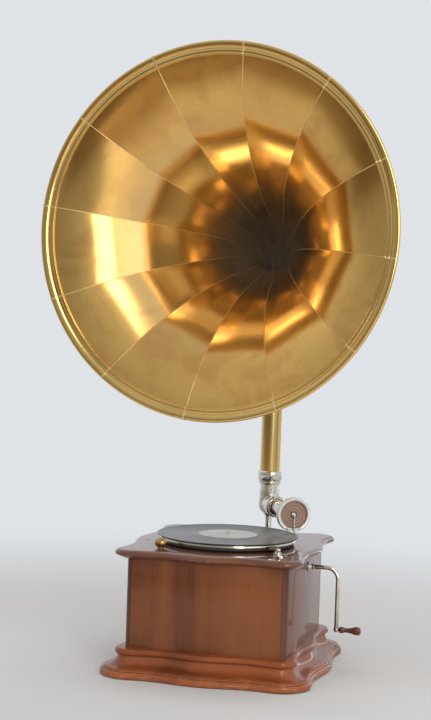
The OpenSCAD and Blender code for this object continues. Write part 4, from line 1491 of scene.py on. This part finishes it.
@dataclass
class Support:
    """Bracket on the rear panel and the post under the elbow."""

    x: float = 29.0
    y: float = 195.0
    rear_y: float = 160.0
    plate_z: float = 105.0
    plate_h: float = 70.0
    plate_w: float = 60.0
    plate_t: float = 5.0
    post_r: float = 6.2
    post_top: float = 240.0

    def build(self, bench: Bench) -> None:
        """Builds plate, lugs, screws and post.

        Args:
            bench: Makes the pieces.
        """
        z0, z1 = self.plate_z, self.plate_z + self.plate_h
        half, face = self.plate_w / 2.0, self.rear_y + self.plate_t
        shape = Shape().board((self.x - half, self.rear_y, z0), (self.x + half, face, z1), 1.2)
        hub = self.post_r + 5.0
        for z in (z0 + 8.0, z1 - 18.0):
            ring = soften([(6.25, 0.0), (hub, 0.0), (hub, 10.0), (6.25, 10.0)], 1.2)
            shape.lathe(ring, upright(self.x, self.y, z), 48)
            web = self.y - 6.6
            low, high = (self.x - hub, self.rear_y + 4.0, z + 0.2), (self.x + hub, web, z + 9.8)
            shape.board(low, high, 1.0)
            for side in (-1.0, 1.0):
                near, far = sorted((self.x + side * 6.6, self.x + side * hub))
                shape.board((near, web - 1.0, z + 0.2), (far, self.y, z + 9.8), 0.6)
        for sx in (-23.0, 23.0):
            for z in (z0 + 8.0, z1 - 8.0):
                seat = facing((self.x + sx, face, z), (0.0, 1.0, 0.0))
                shape.screw(seat, 4.0, 2.0, sx + z)
        bench.put("rear_bracket", shape, "case", NICKEL, ["bracket_plate"])
        low, lug = z0 + 8.0, z1 - 8.0
        top = self.post_top
        post = [(0.0, low), (5.4, low), (6.2, low + 0.8), (6.2, lug), (8.7, lug), (8.7, lug + 3.2)]
        post += [(8.0, lug + 4.0), (6.6, lug + 4.4), (6.2, lug + 5.4), (6.2, top - 0.8), (5.4, top)]
        post += [(4.0, top), (4.0, top + 4.4), (3.4, top + 5.0), (0.0, top + 5.0)]
        shape = Shape().lathe(post, upright(self.x, self.y), 48, False)
        bench.put("column_post", shape, "case", NICKEL, ["bracket_post"])


@dataclass
class Arm:
    """Elbow, union ring and hollow tone arm."""

    x: float = 29.0
    y: float = 195.0
    z: float = 262.0
    turn: float = 28.7
    ball_r: float = 20.0
    neck_r: float = 18.0
    neck_len: float = 50.0
    outlet_r: float = 17.0
    outlet_len: float = 33.5
    flange_z: float = 301.0
    union_a: float = 36.0
    flutes: int = 22
    voxel: float = 0.8
    smoothings: int = 14

    def along(self, a: float) -> Matrix:
        """Frame at a distance along the arm, with Z along it and Y up.

        Args:
            a: Distance from the elbow's middle.

        Returns:
            The frame.
        """
        place = Matrix.Translation((self.x, self.y, self.z))
        swing = Matrix.Rotation(math.radians(self.turn), 4, "Z")
        lay = Matrix.Translation((0.0, -a, 0.0)) @ Matrix.Rotation(math.pi / 2, 4, "X")
        return place @ swing @ lay

    def build(self, bench: Bench) -> None:
        """Builds elbow, ring and arm.

        Args:
            bench: Makes the pieces.
        """
        bench.put("cast_elbow", self.elbow(), "arm_base", NICKEL, ["elbow"], crease=60.0)
        bench.put("fluted_ring", self.ring(), "arm_base", NICKEL, ["union_ring"])
        tube = [(6.0, 38.5), *arc((0.0, 45.0), 15.3, -25.0, 20.0, 8), (12.4, 51.5)]
        tube += [(12.0, 53.5), (11.9, 58.0), (12.5, 58.6), (12.5, 60.4), (11.85, 61.0)]
        tube += [(11.0, 92.0), (10.2, 126.0), (10.0, 128.4), (11.0, 129.0), (11.0, 131.4)]
        tube += [(10.4, 131.7), (9.0, 131.7), (9.0, 143.0), (6.0, 143.0)]
        shape = Shape().lathe(tube, self.along(0.0), 56)
        bench.put("tapered_arm", shape, "arm_tube", NICKEL, ["tone_arm"])

    @staticmethod
    def rod(radius: float, length: float) -> Profile:
        """Profile of a plain round bar."""
        return [(0.0, 0.0), (radius, 0.0), (radius, length), (0.0, length)]

    def elbow(self) -> Shape:
        """Cast elbow: a ball, a neck and an outlet melted into one skin.

        Returns:
            The elbow.
        """
        rough = Shape()
        base = upright(self.x, self.y, self.z)
        turns = arc((0.0, 0.0), self.ball_r, -80.0, 80.0, 30)
        globe = [(0.0, -self.ball_r), *turns, (0.0, self.ball_r)]
        rough.lathe(globe, base, 48, False)
        rough.lathe(self.rod(self.neck_r, self.neck_len), base, 64, False)
        flange = self.flange_z - self.z
        lip = [(0.0, flange), (19.4, flange), (21.0, flange + 1.2), (21.0, flange + 3.0)]
        rough.lathe([*lip, (20.2, flange + 4.0), (0.0, flange + 4.0)], base, 64, False)
        rough.lathe(self.rod(self.outlet_r, self.outlet_len), self.along(0.0), 64, False)
        boss = [(0.0, -21.7), (9.2, -21.7), (9.2, -8.0), (0.0, -8.0)]
        rough.lathe(boss, base, 48, False)
        mesh = bpy.data.meshes.new("elbow_rough")
        rough.bm.to_mesh(mesh)
        rough.bm.free()
        helper = bpy.data.objects.new("elbow_rough", mesh)
        bpy.context.scene.collection.objects.link(helper)
        modifier = helper.modifiers.new("skin", "REMESH")
        modifier.mode = "VOXEL"
        modifier.voxel_size = self.voxel
        modifier.use_smooth_shade = True
        graph = bpy.context.evaluated_depsgraph_get()
        skin = bpy.data.meshes.new_from_object(helper.evaluated_get(graph))
        shape = Shape()
        shape.bm.from_mesh(skin)
        for _ in range(self.smoothings):
            bmesh.ops.smooth_vert(
                shape.bm,
                verts=shape.bm.verts[:],
                factor=0.5,
                use_axis_x=True,
                use_axis_y=True,
                use_axis_z=True,
            )
        bpy.data.objects.remove(helper)
        bpy.data.meshes.remove(mesh)
        bpy.data.meshes.remove(skin)
        return shape

    def ring(self) -> Shape:
        """Union ring with flutes round it.

        Returns:
            The ring.
        """
        count = self.flutes * 6
        rings = []
        levels = ((0.0, 17.6, 0.0), (0.6, 18.2, 0.0), (3.6, 18.2, 0.0), (4.2, 19.4, 0.0))
        levels += ((4.8, 20.0, 0.6), (5.6, 20.2, 1.0), (8.0, 20.2, 1.0), (10.4, 20.2, 1.0))
        levels += ((11.2, 20.0, 0.6), (11.8, 19.4, 0.0), (12.4, 18.2, 0.0), (15.2, 18.2, 0.0))
        levels += ((16.0, 17.4, 0.0), (16.0, 15.6, 0.0), (2.0, 15.6, 0.0), (2.0, 14.0, 0.0))
        levels += ((0.0, 14.0, 0.0),)
        for along, radius, cut in levels:
            ring = []
            for i in range(count):
                a = 2.0 * math.pi * i / count
                dip = cut * 1.3 * (0.5 + 0.5 * math.cos(a * self.flutes))
                r = radius - dip
                ring.append(Vector((r * math.cos(a), r * math.sin(a), along)))
            rings.append(ring)
        return Shape().loft(rings, self.along(self.union_a), joined=True)


@dataclass
class SoundBox:
    """Sound box with its diaphragm, needle bar and needle."""

    arm: Arm
    ring_end: float = 158.0
    radius: float = 31.0
    chord: float = 26.0
    disc_a: float = 153.6
    disc_r: float = 25.4
    disc_t: float = 0.5
    wave_h: float = 0.28
    wave_pitch: float = 5.2
    bar_a: float = 160.2

    def build(self, bench: Bench) -> None:
        """Builds the pieces of the sound box.

        Args:
            bench: Makes the pieces.
        """
        frame = self.arm.along(0.0)
        up = (frame.to_3x3() @ Vector((0.0, 1.0, 0.0))).normalized()
        floor = frame @ Vector((0.0, -self.chord, 0.0))
        back = [(9.05, 132.0), (11.2, 132.0), (11.5, 132.6), (11.5, 141.6), (12.2, 143.2)]
        back += [(14.0, 144.0), (28.6, 144.0), (29.5, 144.9), (29.5, 148.0), (6.0, 148.0)]
        back += [(6.0, 143.0), (9.05, 143.0)]
        shape = Shape().lathe(back, frame, 72).cut_below(floor, up)
        for a in (30.0, 150.0, 270.0):
            x, y = 21.0 * math.cos(math.radians(a)), 21.0 * math.sin(math.radians(a))
            seat = frame @ Matrix.Translation((x, y, 144.0)) @ Matrix.Rotation(math.pi, 4, "X")
            shape.screw(seat, 2.3, 1.2, a)
        bench.put("box_back", shape, "sound_box", BOX_NICKEL, ["soundbox_back"])
        e = self.ring_end
        r = self.radius
        side = [(-1.2, 148.0), (-0.4, 148.5), (0.0, 149.4), (0.0, 150.6), (-0.5, 151.0)]
        side += [(-0.5, 151.6), (0.0, 152.0), (0.0, e - 1.6), (-0.4, e - 0.6), (-1.2, e)]
        mouth = [(26.2, 0.0), (25.3, -0.3), (24.6, -1.0), (24.0, -2.0), (24.0, -3.4), (25.5, -3.4)]
        ring = [(25.5, 148.0), *moved(side, r, 0.0), *moved(mouth, 0.0, e)]
        shape = Shape().lathe(ring, frame, 112).cut_below(floor, up)
        bench.put("box_ring", shape, "sound_box", BOX_NICKEL, ["soundbox_ring"])
        bench.dress(RUBBER, "gaskets")
        self.build_disc(bench, frame)
        self.build_bar(bench, frame)

    def build_disc(self, bench: Bench, frame: Matrix) -> None:
        """Builds the diaphragm with its pressed rings.

        Args:
            bench: Makes the pieces.
            frame: Frame of the arm, with Z along it.
        """
        face, steps = [(0.0, self.disc_a)], 60
        for i in range(1, steps + 1):
            r = self.disc_r * i / steps
            fade = min(1.0, (self.disc_r - r) / 2.0)
            lift = self.wave_h * math.sin(r * 2.0 * math.pi / self.wave_pitch) * fade
            face.append((r, self.disc_a + lift))
        back = [(r, z - self.disc_t) for r, z in reversed(face)]
        centre = frame @ Vector((0.0, 0.0, self.disc_a))
        finish = Rings("ringed_diaphragm", (centre.x, centre.y, centre.z))
        shape = Shape().lathe([*face, *back], frame, 80, False)
        bench.put("ringed_disc", shape, "sound_box", finish, ["diaphragm"])

    def build_bar(self, bench: Bench, frame: Matrix) -> None:
        """Builds the needle bar, its pivots and the needle.

        Args:
            bench: Makes the pieces.
            frame: Frame of the arm, with Z along it.
        """
        chord, line = self.chord, self.bar_a
        bar = Shape().board((-13.0, -chord - 2.0, 148.0), (13.0, -chord, 162.2), 0.5, frame)
        for side in (-1.0, 1.0):
            near, far = sorted((side * 9.0, side * 12.6))
            bar.board((near, -chord - 0.5, 158.4), (far, -chord + 4.0, 162.0), 0.6, frame)
            seat = frame @ facing((side * 12.6, -chord + 2.0, line), (side, 0.0, 0.0))
            bar.screw(seat, 1.5, 1.1, 30.0)
        path = [Vector((0.0, y, line)) for y in (-chord, -18.0, -9.0, -2.0, 0.5)]
        stem = Shape().tube(path, [1.7, 1.35, 1.15, 1.1, 0.9], 16)
        bar.take(stem.bm, frame)
        boss = [(0.0, 153.3), (3.6, 153.3), (4.0, 153.7), (3.6, 154.5), (1.6, 155.0), (1.3, 155.6)]
        boss += [(1.3, 158.6), (2.0, 159.2), (2.2, 160.4), (1.9, 161.4), (0.0, 161.8)]
        bar.lathe(boss, frame, 32, False)
        chuck = [(0.0, -1.0), (2.2, -1.0), (2.2, 2.6), (1.6, 3.4), (0.95, 3.4), (0.95, 2.4)]
        chuck.append((0.0, 2.4))
        down = frame @ facing((0.0, -chord - 0.4, line), (0.0, -1.0, 0.0))
        bar.lathe(chuck, down, 24, False)
        thumb = [(0.0, 0.0), (1.1, 0.0), (1.1, 2.4), (2.3, 2.4), (2.3, 4.2), (0.0, 4.2)]
        front = frame @ facing((0.0, -chord - 1.6, 162.0), (0.0, 0.0, 1.0))
        bar.lathe(soften(thumb, 0.3), front, 20, False)
        bench.put("needle_lever", bar, "sound_box", BOX_NICKEL, ["needle_bar"])
        washer = soften([(3.7, 153.5), (5.6, 153.5), (5.6, 155.0), (3.7, 155.0)], 0.5)
        shape = Shape().lathe(washer, frame, 32)
        bench.put("stud_washer", shape, "sound_box", RUBBER)
        point = [(0.0, 0.0), (0.9, 0.0), (0.9, 2.2), (0.75, 2.8), (0.2, 3.65), (0.0, 3.7)]
        tip = frame @ facing((0.0, -28.0, line), (0.0, -1.0, 0.0))
        shape = Shape().lathe(point, tip, 16, False)
        bench.put("steel_needle", shape, "sound_box", STEEL, ["needle"])


@dataclass
class Horn:
    """Flared horn of soldered brass panels on a bent axis."""

    x: float = 29.0
    y: float = 195.0
    pipe_z: float = 317.2
    pipe_top: float = 638.2
    pipe_r: float = 19.0
    tail_r: float = 19.5
    mouth_r: float = 305.0
    panels: int = 12
    seam_a: float = 7.0
    sheet: float = 0.8
    bell_len: float = 374.0
    bend_r: float = 100.0
    flare_len: float = 190.0
    flare_power: float = 0.72
    mouth_turn: float = -6.5
    mouth_tilt: float = 2.0
    bell_turn: float = 9.2
    rim_band: float = 19.0
    edge_w: float = 4.0
    slope_r: float = 11.0
    ridge_r: float = 2.5
    rows: int = 110
    cols: int = 12
    row_power: float = 1.6
    flat_len: float = 30.0
    fold_h: float = 3.0
    fold_w: float = 1.3
    seam_steps: int = 90
    lap_h: float = 0.6
    lap_turn: float = 0.6
    clamp_turn: float = 15.0

    def __post_init__(self) -> None:
        """Works out the length, the mouth's place, where the panels start and their angle."""
        self.length = self.bell_len + self.bend_r * math.radians(90.0 - self.mouth_tilt)
        self.mouth = Vector((self.x, self.y, self.pipe_top)) - self.axis_at(self.length)
        self.lip = self.depth_of(self.mouth_r - self.rim_band - self.ridge_r - 0.3)
        self.start = self.depth_of(self.mouth_r - self.rim_band - 1.0)
        self.panel_turn = FULL_TURN / self.panels

    def heading_at(self, s: float) -> float:
        """Sideways heading of the axis, in radians."""
        share = min(s, self.bell_len) / self.bell_len
        return math.radians(self.mouth_turn + self.bell_turn * share)

    def pitch_at(self, s: float) -> float:
        """Pitch of the axis, in radians."""
        return math.radians(self.mouth_tilt) + max(0.0, s - self.bell_len) / self.bend_r

    def axis_at(self, s: float) -> Vector:
        """Place on the axis.

        Args:
            s: Depth from the mouth, along the axis.

        Returns:
            The place, from the mouth's middle.
        """
        h, p = self.heading_at(s), self.pitch_at(s)
        first, tilt = math.radians(self.mouth_turn), math.radians(self.mouth_tilt)
        c = self.bell_len / math.radians(self.bell_turn) * math.cos(tilt)
        run = self.bend_r * (math.sin(p) - math.sin(tilt))
        drop = self.bend_r * (math.cos(tilt) - math.cos(p))
        x = c * (math.cos(h) - math.cos(first)) - run * math.sin(h)
        y = c * (math.sin(h) - math.sin(first)) + run * math.cos(h)
        return Vector((x, y, -min(s, self.bell_len) * math.sin(tilt) - drop))

    def opening(self, s: float) -> float:
        """Share of the flare that is open at a depth."""
        return math.exp(-((max(s, 0.0) / self.flare_len) ** self.flare_power))

    def flare_at(self, s: float) -> float:
        """Radius at a depth."""
        end = self.opening(self.length)
        return self.tail_r + (self.mouth_r - self.tail_r) * (self.opening(s) - end) / (1.0 - end)

    def depth_of(self, radius: float) -> float:
        """Depth of a radius.

        Args:
            radius: Radius of the flare.

        Returns:
            The depth at which the flare has it.
        """
        end = self.opening(self.length)
        share = end + (1.0 - end) * (radius - self.tail_r) / (self.mouth_r - self.tail_r)
        return self.flare_len * (-math.log(share)) ** (1.0 / self.flare_power)

    def point(self, s: float, radius: float, clock: float) -> Vector:
        """Place round the axis.

        Args:
            s: Depth.
            radius: Distance from the axis.
            clock: Clock angle in degrees.

        Returns:
            The place.
        """
        h, p, a = self.heading_at(s), self.pitch_at(s), math.radians(clock)
        up = Vector((-math.sin(h) * math.sin(p), math.cos(h) * math.sin(p), math.cos(p)))
        right = Vector((math.cos(h), math.sin(h), 0.0))
        return self.mouth + self.axis_at(s) + radius * (math.cos(a) * up + math.sin(a) * right)

    def normal_at(self, s: float) -> tuple[float, float]:
        """Unit normal of the flare.

        Args:
            s: Depth.

        Returns:
            Its shares along the axis and outwards.
        """
        d = 0.01
        slope = (self.flare_at(s + d) - self.flare_at(s - d)) / (2.0 * d)
        size = math.hypot(slope, 1.0)
        return -slope / size, 1.0 / size

    def panel_radius(self, s: float, b: float) -> float:
        """Radius of a panel: round at the rim, flat further in.

        Args:
            s: Depth.
            b: Angle off the panel's middle, in degrees.

        Returns:
            The radius.
        """
        flat = math.cos(math.pi / self.panels) / math.cos(math.radians(b))
        share = 1.0 - math.exp((self.lip - max(s, self.lip)) / self.flat_len)
        return self.flare_at(s) * (1.0 - share * (1.0 - flat))

    def depth_share(self, v: float) -> float:
        """Depth at a share of the way in, closer together near the rim."""
        return self.start + (self.length - self.start) * v**self.row_power

    def build(self, bench: Bench) -> None:
        """Builds panels, seams, rim, pipe and collar.

        Args:
            bench: Makes the pieces.
        """
        self.build_panels(bench)
        self.build_seams(bench)
        self.build_rim(bench)
        self.build_tail(bench)

    def build_panels(self, bench: Bench) -> None:
        """Builds the twelve panels.

        Args:
            bench: Makes the pieces.
        """
        shape = Shape()
        width = self.panel_turn
        for k in range(self.panels):

            def place(u: float, v: float, k: int = k) -> Vector:
                """Point on a panel."""
                s, b = self.depth_share(v), (u - 0.5) * width
                return self.point(s, self.panel_radius(s, b), self.seam_a + (k + 0.5) * width + b)

            def mapping(u: float, v: float, k: int = k) -> tuple[float, float]:
                """Panel number and share across it, and share of the depth."""
                return k + 0.001 + 0.998 * u, self.depth_share(v) / self.length

            shape.patch(self.rows, self.cols, place, mapping, -self.sheet)
        bench.put("bell_panels", shape, "horn", SHEET_BRASS, ["horn_petals"], crease=24.0)

    def seam_ring(self, s: float, clock: float, lifts: Profile) -> list[Vector]:
        """Cross-section of a seam.

        Args:
            s: Depth.
            clock: Clock angle of the seam, in degrees.
            lifts: Widths and lifts off the sheet.

        Returns:
            Points of the cross-section.
        """
        n = self.normal_at(s)
        ring = []
        for side, lift in lifts:
            r = self.flare_at(s) + lift * n[1]
            deep = min(s + lift * n[0], self.length)
            ring.append(self.point(deep, r, clock + math.degrees(side / r)))
        return ring

    def build_seams(self, bench: Bench) -> None:
        """Builds the folded seams outside and the soldered lines inside.

        Args:
            bench: Makes the pieces.
        """
        folds, lines = Shape(), Shape()
        w, h, steps = self.fold_w, self.fold_h, self.seam_steps
        fold = [(-w, 0.7), (w, 0.7), (w * 0.95, h * 0.6), (w * 0.7, h * 0.9)]
        fold += [(0.0, h + 0.8), (-w * 0.7, h * 0.9), (-w * 0.95, h * 0.6)]
        line = [(0.8, 0.3), (-0.8, 0.3), (-0.8, -0.5), (-0.5, -0.75), (0.2, -0.65), (0.8, -0.2)]
        depths = [self.depth_share(i / steps) for i in range(steps + 1)]
        for k in range(self.panels):
            clock = self.seam_a + k * self.panel_turn
            folds.loft([self.seam_ring(s, clock, fold) for s in depths])
            taper = [(s, 1.0 - 0.6 * s / self.length) for s in depths[:-1]]
            lines.loft(
                [self.seam_ring(s, clock, [(x * t, y * t) for x, y in line]) for s, t in taper]
            )
        bench.put("seam_folds", folds, "horn", ROLLED_BRASS, ["horn_seams"], crease=40.0)
        bench.put("solder_lines", lines, "horn", SEAM_BRASS, crease=60.0)

    def rim_frame(self) -> Matrix:
        """Frame of the mouth, with Z out of it.

        Returns:
            The frame.
        """
        tilt = Matrix.Rotation(math.radians(90.0 - self.mouth_tilt), 4, "X")
        turn = Matrix.Rotation(math.radians(self.mouth_turn), 4, "Z")
        return Matrix.Translation(self.mouth) @ turn @ tilt

    def rim_profile(self, grow: float) -> list[tuple[float, float]]:
        """Profile of the rim: two low ridges, a groove, a broad slope and the rolled edge.

        Args:
            grow: How far it stands off the plain rim.

        Returns:
            Points of radius and height.
        """
        r, z = self.mouth_r, -self.lip
        ridges = [(22.6, z - 1.0), (22.5, -2.0), (22.4, -1.0), (22.1, -0.3), (21.6, 0.05)]
        ridges += [(21.0, 0.1), (20.2, -0.1), (19.2, -0.45), (18.3, -0.7), (17.8, -0.65)]
        ridges += [(17.0, -0.4), (16.2, -0.25), (15.4, -0.4), (14.2, -0.8), (13.0, -1.2)]
        ridges.append((12.5, -1.3))
        inner = [(r - back, rise + grow) for back, rise in ridges]
        crest, edge = 2.4, self.edge_w
        turns = arc((0.0, 0.0), self.slope_r, 138.0, 94.0, 14)
        slope = [(r - edge + x, crest - self.slope_r + y + grow) for x, y in turns]
        wide, high = edge + grow, 3.6 + grow
        turns = arc((0.0, 0.0), 1.0, 90.0, -95.0, 30)
        roll = [(r - edge + wide * x, -1.2 + high * y) for x, y in turns]
        back = [(r - 9.0, z - 1.5 - grow), (r - 14.0, z - 1.9 - grow), (r - 20.0, z - 1.9 - grow)]
        return [*inner, *slope, *roll, *back]

    def build_rim(self, bench: Bench) -> None:
        """Builds the rolled rim and the laps where the seams cross it.

        Args:
            bench: Makes the pieces.
        """
        frame = self.rim_frame()
        rim = Shape().lathe(self.rim_profile(0.0), frame, 240)
        bench.put("rolled_rim", rim, "horn", ROLLED_BRASS, ["horn_rim"], crease=40.0)
        laps = Shape()
        for k in range(self.panels):
            clock = self.seam_a + k * self.panel_turn
            turn = Matrix.Rotation(math.radians(90.0 - clock - self.lap_turn / 2.0), 4, "Z")
            laps.lathe(self.rim_profile(self.lap_h), frame @ turn, 5, True, self.lap_turn)
        bench.put("rim_laps", laps, "horn", SEAM_BRASS, crease=40.0)

    def build_tail(self, bench: Bench) -> None:
        """Builds the tail pipe, its collar and the clamp screw.

        Args:
            bench: Makes the pieces.
        """
        low, top, r = self.pipe_z, self.pipe_top, self.pipe_r
        ferrule = [(0.0, -15.0), (0.6, -14.4), (0.6, -12.8), (1.6, -12.0), (3.0, -11.0)]
        ferrule += [(3.0, -8.4), (2.2, -7.6), (2.2, -4.4), (3.0, -3.6), (3.0, -1.0), (2.0, 0.0)]
        pipe = [(r - 1.5, low), (r, low), *moved(ferrule, r, top), (r - 1.5, top)]
        shape = Shape().lathe(pipe, upright(self.x, self.y), 72)
        lap = [(-2.6, r - 0.2, low + 9.0), (2.6, r + 0.35, top - 16.0)]
        shape.board(lap[0], lap[1], 0.15, upright(self.x, self.y), 2)
        bench.put("tail_pipe", shape, "horn", PIPE_BRASS, ["horn_pipe"])
        base = low - 12.0
        collar = [(18.05, 0.0), (19.2, 0.0), (20.0, 0.5), (20.9, 2.0), (21.8, 4.2), (22.5, 6.8)]
        collar += [(22.9, 9.6), (23.0, 12.4), (22.9, 15.0), (22.5, 17.2), (21.7, 18.8)]
        collar += [(20.6, 19.7), (19.05, 20.0), (19.05, 12.0), (18.05, 12.0)]
        shape = Shape().lathe(moved(collar, 0.0, base), upright(self.x, self.y), 72)
        bench.put("horn_socket", shape, "horn", NICKEL, ["horn_collar"])
        turn = math.radians(self.clamp_turn)
        out = Vector((math.sin(turn), -math.cos(turn), 0.0))
        seat = Vector((self.x, self.y, base + 12.0)) + out * 22.4
        stem = [(0.0, 0.0), (1.7, 0.0), (1.7, 2.2), (0.0, 2.2)]
        clamp = Shape().lathe(stem, facing(seat, out), 20, False)
        clamp.screw(facing(seat + out * 2.0, out), 3.2, 2.6, 40.0)
        bench.put("clamp_screw", clamp, "horn", NICKEL, ["collar_screw"])


@dataclass
class Motor:
    """Spring motor under the lid, kept as packed."""

    def build(self, bench: Bench) -> None:
        """Dresses the motor's nodes.

        Args:
            bench: Makes the pieces.
        """
        bench.dress(IRON, "motor_top_plate", "motor_bottom_plate")
        bench.dress(IRON, "crank_bearing", "governor_bracket")
        bench.dress(STEEL, "motor_pillars", "winding_pinion", "barrel_arbor", "crown_wheel")
        bench.dress(STEEL, "main_spring", "middle_arbor", "governor_shaft")
        bench.dress(STEEL, "governor_springs", "speed_lever")
        bench.dress(RIM_NICKEL, "turntable_spindle")
        bench.dress(WHEEL_BRASS, "spring_barrel", "barrel_cover", "great_wheel", "middle_wheel")
        bench.dress(WHEEL_BRASS, "worm_wheel", "governor_weights", "governor_disc")


@dataclass
class Studio:
    """Pale floor, soft lights and the camera."""

    eye: tuple[float, float, float] = (659.8, -2830.8, 649.2)
    yaw: float = 13.81
    pitch: float = 2.24
    roll: float = 1.97
    lens: float = 82.5
    sensor: float = 36.0
    floor_r: float = 30.0
    pale: Colour = (0.74, 0.77, 0.8)
    floor_colour: Colour = (0.64, 0.63, 0.62)
    # Colour of the floor ahead of the object: painted shade for the dim room in front, seen in
    # reflections.
    front_colour: Colour = (0.31, 0.245, 0.18)
    soft_colour: Colour = (0.86, 0.87, 0.89)
    soft_strength: float = 0.55

    def build(self) -> None:
        """Builds floor, world, lights and camera."""
        self.build_floor()
        self.build_world()
        self.lamp("window", (1.5, -2.35, 1.6), (0.0, -0.25, 0.72), (0.8, 2.8), 26.0, True)
        self.lamp("curtain", (2.35, -1.55, 1.35), (0.0, -0.25, 0.72), (1.3, 2.3), 7.4, True)
        self.lamp("fill", (-2.6, -2.4, 2.4), (0.0, 0.0, 0.5), (2.6, 2.2), 22.0)
        self.lamp("front", (0.4, -3.4, 0.9), (0.05, -0.2, 0.2), (2.0, 1.2), 36.0)
        self.lamp("above", (0.2, 0.6, 3.2), (0.0, 0.0, 0.4), (2.4, 2.4), 34.0)
        self.lamp("edge", (0.95, 2.6, 0.8), (0.1, 0.0, 0.5), (0.12, 1.8), 2.6, True)
        self.build_camera()

    def build_floor(self) -> None:
        """Builds a wide floor that fades into the background."""
        part = bmesh.new()
        bmesh.ops.create_circle(part, segments=96, radius=self.floor_r, cap_ends=True)
        mesh = bpy.data.meshes.new("floor")
        part.to_mesh(mesh)
        part.free()
        floor = bpy.data.objects.new("floor", mesh)
        bpy.context.scene.collection.objects.link(floor)
        graph = Graph(bpy.data.materials.new("pale_floor"))
        place = graph.place()
        camera, seen = self.rays(graph)
        right, ahead, _ = graph.axes(place)
        behind = ahead.step(-0.5, 1.5)
        # Darker, browner floor ahead of the object, seen in reflections: painted shade for the dim
        # room in front.
        front = ahead.step(-0.8, -1.9) * right.step(0.9, 0.2)
        colour = graph.mix(front, self.floor_colour, self.front_colour)
        glowing = graph.length(place).step(0.5, 1.7) * seen * graph.math("MAXIMUM", camera, behind)
        matt = graph.node("ShaderNodeBsdfDiffuse", None, {"Color": colour})
        glow = graph.node("ShaderNodeEmission", None, {"Color": self.pale, "Strength": 1.0})
        both = graph.node("ShaderNodeMixShader", None, {0: glowing, 1: matt, 2: glow})
        graph.node("ShaderNodeOutputMaterial", None, {"Surface": both})
        mesh.materials.append(graph.owner)
        floor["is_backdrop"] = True

    @staticmethod
    def rays(graph: Graph) -> tuple[Sock, Sock]:
        """Tells the rays that show the background.

        Args:
            graph: Graph that it adds to.

        Returns:
            Share of camera rays, and of camera, glossy and transmission rays.
        """
        camera = graph.node("ShaderNodeLightPath", None, None, "Is Camera Ray")
        outputs = camera.socket.node.outputs
        seen = graph.math("MAXIMUM", camera, Sock(graph, outputs["Is Glossy Ray"]))
        return camera, graph.math("MAXIMUM", seen, Sock(graph, outputs["Is Transmission Ray"]))

    def build_world(self) -> None:
        """Sets a pale background, dimmer in reflections from the front, and a soft light."""
        world = bpy.data.worlds.new("studio")
        bpy.context.scene.world = world
        graph = Graph(world)
        camera, seen = self.rays(graph)
        right, ahead, above = graph.axes(graph.place())
        room = 0.38 + ahead.step(-0.4, 0.6) * 0.5
        room = room + above.step(0.0, 0.8) * 0.36 + right.step(0.0, 0.9) * 0.6
        room = room + right.step(-0.3, -1.0) * 0.12
        strength = graph.math("MAXIMUM", camera, graph.math("MINIMUM", room, 1.0))
        inputs = {"Color": self.soft_colour, "Strength": self.soft_strength}
        soft = graph.node("ShaderNodeBackground", None, inputs)
        inputs = {"Color": self.pale, "Strength": strength}
        shown = graph.node("ShaderNodeBackground", None, inputs)
        both = graph.node("ShaderNodeMixShader", None, {0: seen, 1: soft, 2: shown})
        graph.node("ShaderNodeOutputWorld", None, {"Surface": both})

    def lamp(
        self,
        name: str,
        place: Sequence[float],
        target: Sequence[float],
        size: tuple[float, float],
        power: float,
        mirrored: bool = False,
    ) -> None:
        """Adds a soft box.

        Args:
            name: Its name.
            place: Where it stands, in metres.
            target: Where it points, in metres.
            size: Width and height in metres.
            power: Watts.
            mirrored: Whether glossy surfaces show it.
        """
        light = bpy.data.lights.new(name, "AREA")
        light.shape = "RECTANGLE"
        light.size, light.size_y = size
        light.energy = power
        lamp = bpy.data.objects.new(name, light)
        lamp.visible_glossy = mirrored
        way = Vector(target) - Vector(place)
        turn = way.to_track_quat("-Z", "Y").to_matrix().to_4x4()
        lamp.matrix_world = Matrix.Translation(place) @ turn
        bpy.context.scene.collection.objects.link(lamp)

    def build_camera(self) -> None:
        """Sets the camera at the picture's angle."""
        yaw, pitch, roll = (math.radians(a) for a in (self.yaw, self.pitch, self.roll))
        ahead = Vector(
            (-math.sin(yaw) * math.cos(pitch), math.cos(yaw) * math.cos(pitch), -math.sin(pitch))
        )
        right = Vector((math.cos(yaw), math.sin(yaw), 0.0))
        up = right.cross(ahead)
        side = math.cos(roll) * right + math.sin(roll) * up
        top = -math.sin(roll) * right + math.cos(roll) * up
        frame = Matrix((side, top, -ahead)).transposed().to_4x4()
        frame.translation = Vector(self.eye) * MM
        data = bpy.data.cameras.new("camera")
        data.sensor_fit = "VERTICAL"
        data.sensor_height = self.sensor
        data.lens = self.lens
        data.clip_end = 100.0
        camera = bpy.data.objects.new("camera", data)
        camera.matrix_world = frame
        bpy.context.scene.collection.objects.link(camera)
        bpy.context.scene.camera = camera


def corners() -> list[list[float]]:
    """The object's lowest and highest corners as plain numbers."""
    return [[float(c) for c in corner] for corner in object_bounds()]


def main() -> None:
    """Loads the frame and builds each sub-assembly."""
    logging.basicConfig(level=logging.INFO, format="%(name)s: %(message)s")
    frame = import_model()
    bpy.context.scene.view_settings.view_transform = "Standard"
    Studio().build()
    bench = Bench(Paints(), frame["nodes"])
    arm = Arm()
    for assembly in (
        Case(),
        Motor(),
        Crank(),
        Turntable(),
        Controls(),
        Support(),
        arm,
        SoundBox(arm),
        Horn(),
    ):
        assembly.build(bench)


if __name__ == "__main__":
    main()
